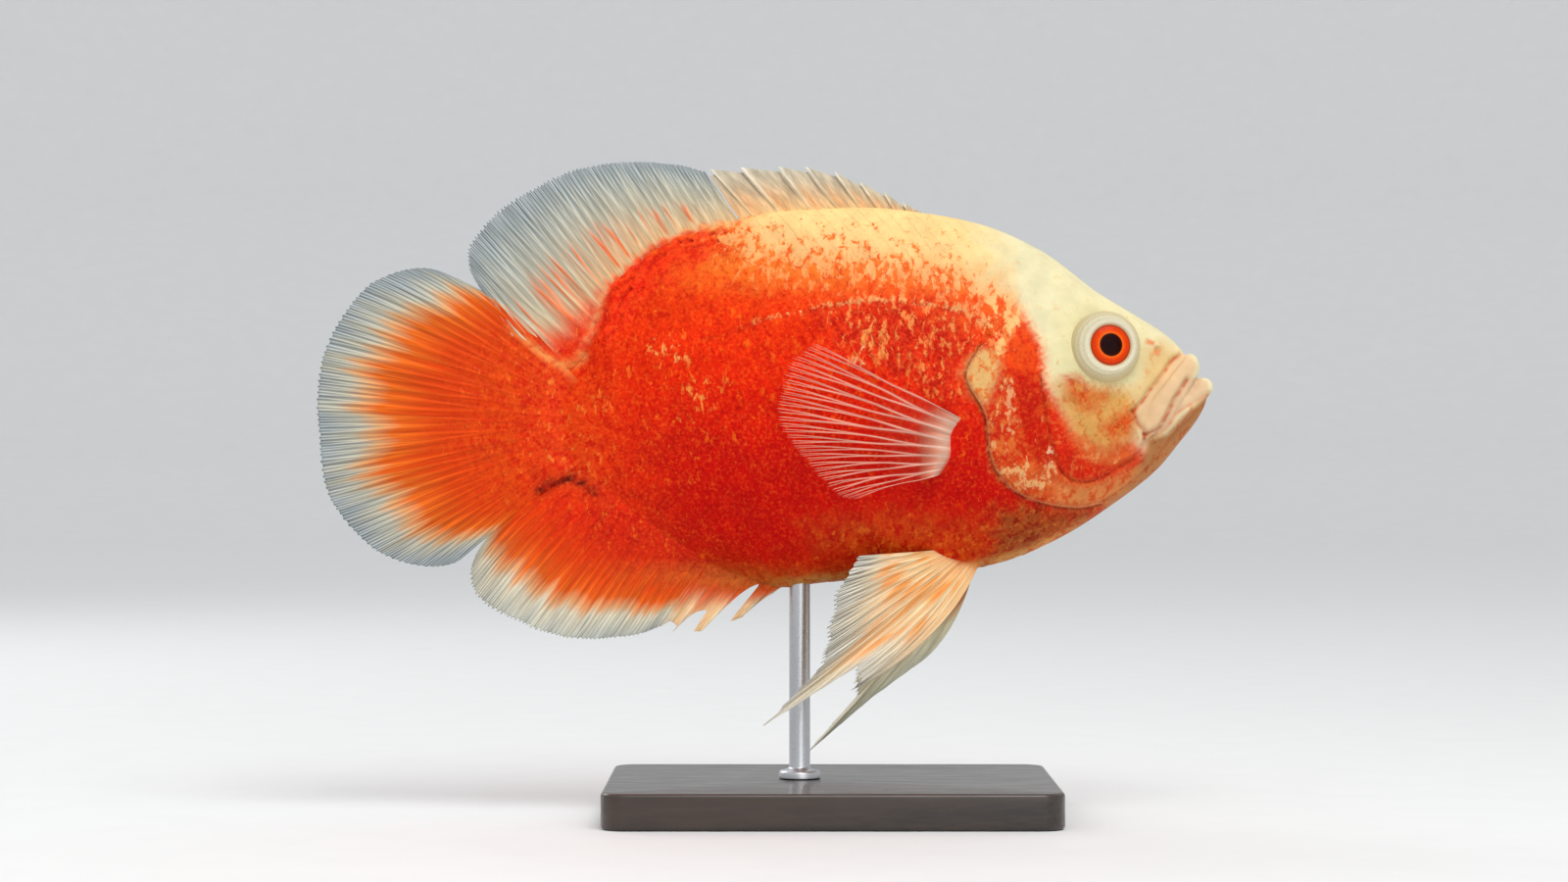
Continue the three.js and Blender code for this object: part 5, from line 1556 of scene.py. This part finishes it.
# %% [markdown]
# Fins share one finish. One group repeats the folding sum on the fin's own map and puts out the
# rays; another draws fine fibres along them, so its noise is stretched in the same map, where one
# unit across is one ray. The chest fins have a clear web.
# %% The rays as nodes
ray_mask, start, end = new_group("branching_rays", [("Map", VECTOR), ("Soft", NUMBER)], [("Bone", NUMBER)])
split = node(ray_mask, "ShaderNodeSeparateXYZ", {"Vector": start.outputs["Map"]})
place, v, soft = split.outputs["X"], split.outputs["Y"], start.outputs["Soft"]


def sine(turn, shift, height):
    inner = plus(ray_mask, times(ray_mask, place, turn), shift)
    return times(ray_mask, maths("SINE")(ray_mask, inner), height)


wander = times(ray_mask, plus(ray_mask, *[sine(*each) for each in WANDER]), v)
offset = plus(ray_mask, place, times(ray_mask, wander, soft))
offset = minus(ray_mask, offset, maths("ROUND")(ray_mask, offset))
width = stepped(ray_mask, soft, 0.0, 1.0, SPINE_WIDTH, RAY_WIDTH)
for first, last, reach in SPLITS:
    open_up = times(ray_mask, stepped(ray_mask, v, first, last), soft)
    folded = maths("ABSOLUTE")(ray_mask, offset)
    offset = minus(ray_mask, folded, times(ray_mask, open_up, reach))
    narrow = minus(ray_mask, 1.0, times(ray_mask, open_up, 1 - NARROWER))
    width = times(ray_mask, width, narrow)
steep = maths("POWER")(ray_mask, divided(ray_mask, offset, width), 2.0)
bone = maths("POWER")(ray_mask, math.e, times(ray_mask, steep, -1.0))
ray_mask.links.new(bone, end.inputs["Bone"])

# %% [markdown]
# The mask mixes the colours of ray and web, the fibres streak them, and the mottled skin of the body
# runs on over the fleshy root.
# %% The fins' finish
streaked, start, end = new_group(
    "ray_streaks",
    [("Rays", COLOUR), ("Web", COLOUR), ("Map", VECTOR), ("Bone", NUMBER), ("Contrast", NUMBER)],
    [("Colour", COLOUR), ("Height", NUMBER)],
)
given = start.outputs
fibres = noise(streaked, stretched(streaked, given["Map"], (14, 3.4, 1)), 1.6, 5.0)
low, high = minus(streaked, 1.0, given["Contrast"]), plus(streaked, 1.0, given["Contrast"])
strength = stepped(streaked, fibres, 0.32, 0.68, low, high)
broad = noise(streaked, stretched(streaked, given["Map"], (4.4, 2.2, 1)), 1.0)
strength = times(streaked, strength, stepped(streaked, broad, 0.32, 0.66, 0.78, 1.08))
colour = mixed(streaked, given["Bone"], given["Web"], given["Rays"])
plug(streaked, end, {
    "Colour": dimmed(streaked, colour, strength), "Height": plus(streaked, fibres, given["Bone"]),
})
CLEAR_RAY, CLEAR_WEB = 0.42, 0.9


def fin_material(name, contrast, see_through):
    material, tree, shader = new_material(name)
    ray_map = node(tree, "ShaderNodeUVMap", uv_map="rays").outputs["UV"]
    plugs = {"Map": ray_map, "Soft": painted(tree, "soft")}
    bone = node(tree, "ShaderNodeGroup", plugs, node_tree=ray_mask).outputs["Bone"]
    streaks = node(tree, "ShaderNodeGroup", {
        "Rays": painted(tree, "ray_tone", "Color"), "Web": painted(tree, "web_tone", "Color"),
        "Map": ray_map, "Bone": bone, "Contrast": contrast,
    }, node_tree=streaked).outputs
    body = painted_skin(tree, SCALE_PEBBLE)
    plug(tree, shader, {
        "Base Color": mixed(tree, painted(tree, "flesh"), streaks["Colour"], body["Colour"]),
        "Normal": bumped(tree, streaks["Height"], RELIEF, 0.7),
        "Roughness": stepped(tree, bone, 0.0, 1.0, 0.5, 0.4), "Specular IOR Level": 0.08,
        "Coat Weight": 0.03, "Coat Roughness": 0.3,
    })
    if see_through:
        through_it = stepped(tree, bone, 0.45, 1.0, CLEAR_WEB, CLEAR_RAY)
        patchy = stepped(tree, streaks["Height"], 0.3, 1.7, 1.12, 0.88)
        lost = times(tree, painted(tree, "clear"), times(tree, through_it, patchy))
        plug(tree, shader, {"Alpha": minus(tree, 1.0, lost)})
    return material


fin_finish = fin_material("fin_finish", 0.15, False)
clear_fin_finish = fin_material("clear_fin_finish", 0.1, True)
for piece in (caudal, soft_dorsal, spiny, anal, *pelvics.values()):
    piece.data.materials.append(fin_finish)
for piece in pectorals.values():
    piece.data.materials.append(clear_fin_finish)

# %% [markdown]
# ## The eyes
# An oscar's eye sits in a soft pale ring. The iris is orange-red and slightly domed, with a brighter
# line round a near-black pupil, and it sits a little ahead of the ring's middle. A fish has no
# eyelids. Ring and eyeball are turned shapes: a profile of radius and height, swept round an axis
# that points out of the head, as the skin does there.
# %% Eyes
RING_PROFILE = [
    (0.0062, -0.002), (0.0064, 0.0012), (0.0067, 0.0021), (0.0075, 0.0027), (0.0086, 0.0029),
    (0.0096, 0.0025), (0.0105, 0.0017), (0.0111, 0.0009), (0.0116, 0.0), (0.0119, -0.0034),
]
BALL_PROFILE = [
    (0.0, 0.0033), (0.002, 0.0032), (0.0034, 0.003), (0.0039, 0.0029), (0.005, 0.0027), (0.0062, 0.0023),
    (0.007, 0.0017), (0.0072, 0.0006), (0.007, -0.001), (0.005, -0.004),
]
PUPIL, IRIS_FORWARD, RING_FOLD, RING_START = 0.0038, 0.0010, 0.0011, 0.0074


def ring_folds(r, a):
    """Folds in the pale ring, from -1 to 1, and how strong they are: most behind the iris"""
    return np.sin((r - RING_START) * 2 * np.pi / RING_FOLD), 0.55 - 0.45 * np.cos(a)


def turned(name, profile, side, steps, around, fold=0.0):
    """A profile swept round the eye's axis, with the inner part shifted a little ahead"""
    line = curve(profile, steps)
    radius, height = np.abs(line[:, 0]), line[:, 1]
    angle = np.linspace(0, 2 * np.pi, around, endpoint=False)
    home, out, _, _ = surface.find_nearest((EYE["x"], side * 0.03, EYE["z"]))
    axis = Vector((0.6 * out.x, out.y, 0.6 * out.z)).normalized()
    ahead = (Vector((1, 0, 0)) - axis.x * axis).normalized()
    above = ahead.cross(axis) * -side
    r, a = np.meshgrid(radius, angle, indexing="ij")
    waves, strength = ring_folds(r, a)
    h = height[:, None] + fold * waves * ease(r, 0.0076, 0.0086) * strength
    x = r * np.cos(a) + IRIS_FORWARD * (1 - ease(r, RING_START, 0.0105))
    z = 1.02 * r * np.sin(a)
    centre = np.array([EYE["x"], home.y - side * 0.0004, EYE["z"]])
    points = centre + x[..., None] * np.array(ahead) + z[..., None] * np.array(above)
    points += h[..., None] * np.array(axis)
    piece = closed_tube(name, points)
    values = [np.concatenate([part.ravel(), [part[0, 0], part[-1, 0]]]) for part in (r, a)]
    return piece, values[0], values[1]


def glossy(name, coat):
    material, tree, shader = new_material(name)
    light = stepped(tree, noise(tree, own_place(tree), 2200.0), 0.3, 0.7, 0.93, 1.05)
    plug(tree, shader, {
        "Base Color": dimmed(tree, painted(tree, "tone", "Color"), light), "Roughness": 0.4,
        "Specular IOR Level": 0.03, "Coat Weight": coat, "Coat Roughness": 0.08,
    })
    return material


ring_finish = glossy("eye_ring_finish", 0.06)
ball_finish = glossy("eyeball_finish", 0.08)
eyes = {}
for name, side in (("right", -1), ("left", 1)):
    ring, r, a = turned(f"eye_ring_{name}", RING_PROFILE, side, 64, 128, 0.0001)
    colour = layered(r, [
        (0.0063, (140, 70, 36)), (0.0068, (200, 170, 128)), (0.0076, (220, 212, 186)),
        (0.0093, (212, 202, 170)), (0.0102, (206, 192, 154)), (0.0115, (206, 188, 142)),
    ])
    waves, strength = ring_folds(r, a)
    in_fold = (0.5 + 0.5 * waves) * strength * ease(r, 0.0078, 0.0088)
    colour = over(colour, (176, 166, 132), 0.4 * in_fold)
    keep_values(ring, "tone", colour)
    ring.data.materials.append(ring_finish)
    ball, r, a = turned(f"eyeball_{name}", BALL_PROFILE, side, 72, 128)
    colour = layered(r, [(0.0, (26, 1, 2)), (0.003, (32, 2, 2)), (PUPIL - 0.0001, (50, 6, 2)),
                         (PUPIL + 0.0002, (246, 108, 24)), (0.0043, (238, 84, 14)),
                         (0.0052, (220, 62, 6)), (0.0059, (212, 60, 8)), (0.0063, (176, 60, 20)),
                         (0.0072, (110, 46, 24))])
    fibre = 0.5 + 0.5 * np.sin(a * 31 + 2 * np.sin(a * 7)) * np.sin(a * 13 + 1)
    colour = over(colour, (206, 34, 6), 0.3 * fibre * ease(r, 0.0042, 0.005))
    keep_values(ball, "tone", colour)
    ball.data.materials.append(ball_finish)
    eyes[name] = (ring, ball)
print("The eye ring is", round(2 * RING_PROFILE[-2][0], 4), "m across")

# %% [markdown]
# ## The stand
# A swimming fish needs holding up. The base is a low block of dark stained wood with rounded
# corners, and one steel rod runs from it into the belly, with a small collar at its foot.
# %% Base and rod
BASE = dict(x=0.022, length=0.150, width=0.112, height=0.012, corner=0.008, bevel=0.0014)
ROD = dict(x=0.0115, radius=0.0035, foot=0.0062, top=0.0850)
COLLAR = dict(radius=0.007, bottom=0.0121, shoulder=0.0140, top=0.0160)
AXIS = 0.0001


def rounded_outline(length, width, corner, steps=12):
    outline = []
    for cx, cy, start in ((1, -1, -90), (1, 1, 0), (-1, 1, 90), (-1, -1, 180)):
        for angle in np.radians(np.linspace(start, start + 90, steps)):
            outline.append((cx * (length / 2 - corner) + corner * math.cos(angle),
                            cy * (width / 2 - corner) + corner * math.sin(angle)))
    return outline


def base_rings():
    bevel = BASE["bevel"]
    angles = np.radians(np.linspace(0, 90, 7))
    lower = [(bevel * (1 - math.sin(angle)), bevel * (1 - math.cos(angle))) for angle in angles]
    upper = [(inset, BASE["height"] - height) for inset, height in reversed(lower)]
    layers = []
    for inset, height in lower + upper:
        outline = rounded_outline(BASE["length"] - 2 * inset, BASE["width"] - 2 * inset,
                                  BASE["corner"] - inset)
        layers.append([(BASE["x"] + x, y, height) for x, y in outline])
    return np.array(layers)


base = closed_tube("base_block", base_rings())
profile = np.array([
    # distance from the rod's axis, height
    (AXIS, ROD["foot"]), (ROD["radius"], ROD["foot"]), (ROD["radius"], COLLAR["bottom"]),
    (COLLAR["radius"] - 0.0003, COLLAR["bottom"]), (COLLAR["radius"], 0.0124),
    (COLLAR["radius"], COLLAR["shoulder"]), (COLLAR["radius"] - 0.0005, 0.0147), (0.0046, 0.0152),
    (0.0038, 0.0156), (ROD["radius"], COLLAR["top"]), (ROD["radius"], ROD["top"]), (AXIS, ROD["top"]),
])
angle = np.linspace(0, 2 * np.pi, 64, endpoint=False)
rod = closed_tube("support_rod", np.stack([
    ROD["x"] + profile[:, :1] * np.cos(angle), profile[:, :1] * np.sin(angle), profile[:, 1:] + 0 * angle,
], axis=-1))
for piece in (base, rod):
    sharp = piece.modifiers.new("Edges", "EDGE_SPLIT")
    sharp.split_angle = math.radians(40)
    settle(piece)

# %% [markdown]
# The wood's grain is noise drawn out along the base. The rod's marks run round it, as if it had been
# turned.
# %% Wood and steel
BLACK_WOOD, DARK_WOOD = (0.012, 0.008, 0.006, 1), (0.035, 0.022, 0.015, 1)
WARM_WOOD = (0.05, 0.028, 0.017, 1)
DULL_STEEL, BRIGHT_STEEL = (0.5, 0.51, 0.53, 1), (0.66, 0.67, 0.69, 1)

wood_finish, tree, shader = new_material("wood_finish")
grain = stretched(tree, own_place(tree), (0.12, 1, 1), (0.1, 0, 0.03))
fibre = noise(tree, grain, 420.0, 6.0, 0.65, 0.6)
bands = noise(tree, grain, 60.0, 3.0)
colour = mixed(tree, stepped(tree, fibre, 0.35, 0.65), BLACK_WOOD, DARK_WOOD)
plug(tree, shader, {
    "Base Color": mixed(tree, stepped(tree, bands, 0.35, 0.65, 0, 0.6), colour, WARM_WOOD),
    "Roughness": stepped(tree, fibre, 0.3, 0.7, 0.45, 0.3), "Normal": bumped(tree, fibre, 0.0001, 0.5),
    "Coat Weight": 0.4, "Coat Roughness": 0.15,
})

steel_finish, tree, shader = new_material("steel_finish")
marks = noise(tree, stretched(tree, own_place(tree), (1, 1, 30)), 300.0, 4.0)
plug(tree, shader, {
    "Base Color": mixed(tree, marks, DULL_STEEL, BRIGHT_STEEL), "Metallic": 1.0,
    "Roughness": stepped(tree, marks, 0.3, 0.7, 0.26, 0.42),
})
base.data.materials.append(wood_finish)
rod.data.materials.append(steel_finish)

# %% [markdown]
# ## Tie the pieces to the frame
# Every piece rides on the frame's one body and names the CAD nodes that it stands for, which are
# hidden. The one skin stands for all the nodes of flesh.
# %% Ride and replace
def tie(piece, slot, *nodes):
    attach(piece, "root")
    if nodes:
        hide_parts(*nodes)


tie(skin, "red_skin", "torso", "tail_stalk", "head", "gill_cover_right", "gill_cover_left", "upper_lip",
    "lower_lip")
for piece in scales:
    tie(piece, "red_skin")
tie(caudal, "fin", "caudal_fin")
tie(soft_dorsal, "fin", "dorsal_fin_soft")
tie(spiny, "pale_fin", "dorsal_fin_spines")
tie(anal, "fin", "anal_fin")
for name in ("right", "left"):
    tie(pectorals[name], "pale_fin", f"pectoral_fin_{name}")
    tie(pelvics[name], "pale_fin", f"pelvic_fin_{name}")
    ring, ball = eyes[name]
    tie(ring, "eye", f"eye_{name}")
    tie(ball, "eye", f"eye_{name}")
tie(base, "wood", "stand_base")
tie(rod, "steel", "stand_rod")

# %% [markdown]
# ## Floor, light and camera
# A wide pale floor that curves up at its rim looks the same from every side, so the model can be
# seen from all round. A large soft light hangs above the fish, a weaker one fills its flank, and
# the camera looks straight at its side, from as far away as a portrait lens would be used.
# %% Floor
FLOOR_PROFILE = [
    # distance from the middle, height
    (0.001, 0), (0.5, 0), (2, 0), (3.2, 0), (4, 0.1), (4.8, 0.5), (5.4, 1.2), (5.8, 2.2), (6.0, 3.6),
]
FLOOR_GAP = 0.00005
FLOOR_SIDES = 96
rings = []
for radius, height in FLOOR_PROFILE:
    around = np.linspace(0, 2 * np.pi, FLOOR_SIDES, endpoint=False)
    x, y = radius * np.cos(around), radius * np.sin(around)
    rings.append(np.stack([x, y, 0 * around + height - FLOOR_GAP], axis=1))
floor = make_mesh("floor", np.concatenate(rings), ring_faces(len(rings), FLOOR_SIDES))
floor_finish, tree, shader = new_material("floor_finish")
speck = noise(tree, own_place(tree), 40.0)
pale = mixed(tree, speck, (0.82, 0.82, 0.81, 1), (0.86, 0.86, 0.85, 1))
plug(tree, shader, {"Base Color": pale, "Roughness": 0.7})
floor.data.materials.append(floor_finish)

# %% [markdown]
# Three soft round lights and a pale sky that fills the shadows.
# %% Light
def area_light(name, place, aim, size, power, colour=(1, 1, 1)):
    data = bpy.data.lights.new(name, "AREA")
    data.shape = "DISK"
    data.size = size
    data.energy = power
    data.color = colour
    light = bpy.data.objects.new(name, data)
    bpy.context.collection.objects.link(light)
    light.location = place
    light.rotation_euler = (Vector(aim) - Vector(place)).to_track_quat("-Z", "Y").to_euler()


area_light("overhead", (0.25, -0.7, 1.2), (0, 0, 0.13), 0.8, 8, (1, 0.99, 0.97))
area_light("front_fill", (0.5, -1.6, 0.5), (0, 0, 0.12), 1.2, 3.2)
area_light("rear_rim", (-0.9, 0.9, 0.9), (0, 0, 0.14), 0.8, 4)
world = bpy.data.worlds.new("studio")
world.use_nodes = True
sky = world.node_tree.nodes["Background"]
plug(world.node_tree, sky, {"Color": (0.9, 0.92, 0.95, 1), "Strength": 0.84})
bpy.context.scene.world = world
bpy.context.scene.view_settings.view_transform = "Standard"

# %% [markdown]
# The picture is as wide as the photograph is in the fish's middle plane, so the camera's distance
# follows from its lens.
# %% Camera
LENS = 85.0
SENSOR = 36.0
FRAME_WIDTH = 0.5263
CENTRE = (0.00625, 0.12523)
distance = FRAME_WIDTH * LENS / SENSOR
camera_data = bpy.data.cameras.new("camera")
camera_data.lens = LENS
camera_data.sensor_width = SENSOR
camera = bpy.data.objects.new("camera", camera_data)
bpy.context.collection.objects.link(camera)
camera.location = (CENTRE[0], -distance, CENTRE[1])
camera.rotation_euler = (math.pi / 2, 0, 0)
bpy.context.scene.camera = camera
print("The camera is", round(distance, 3), "m away")

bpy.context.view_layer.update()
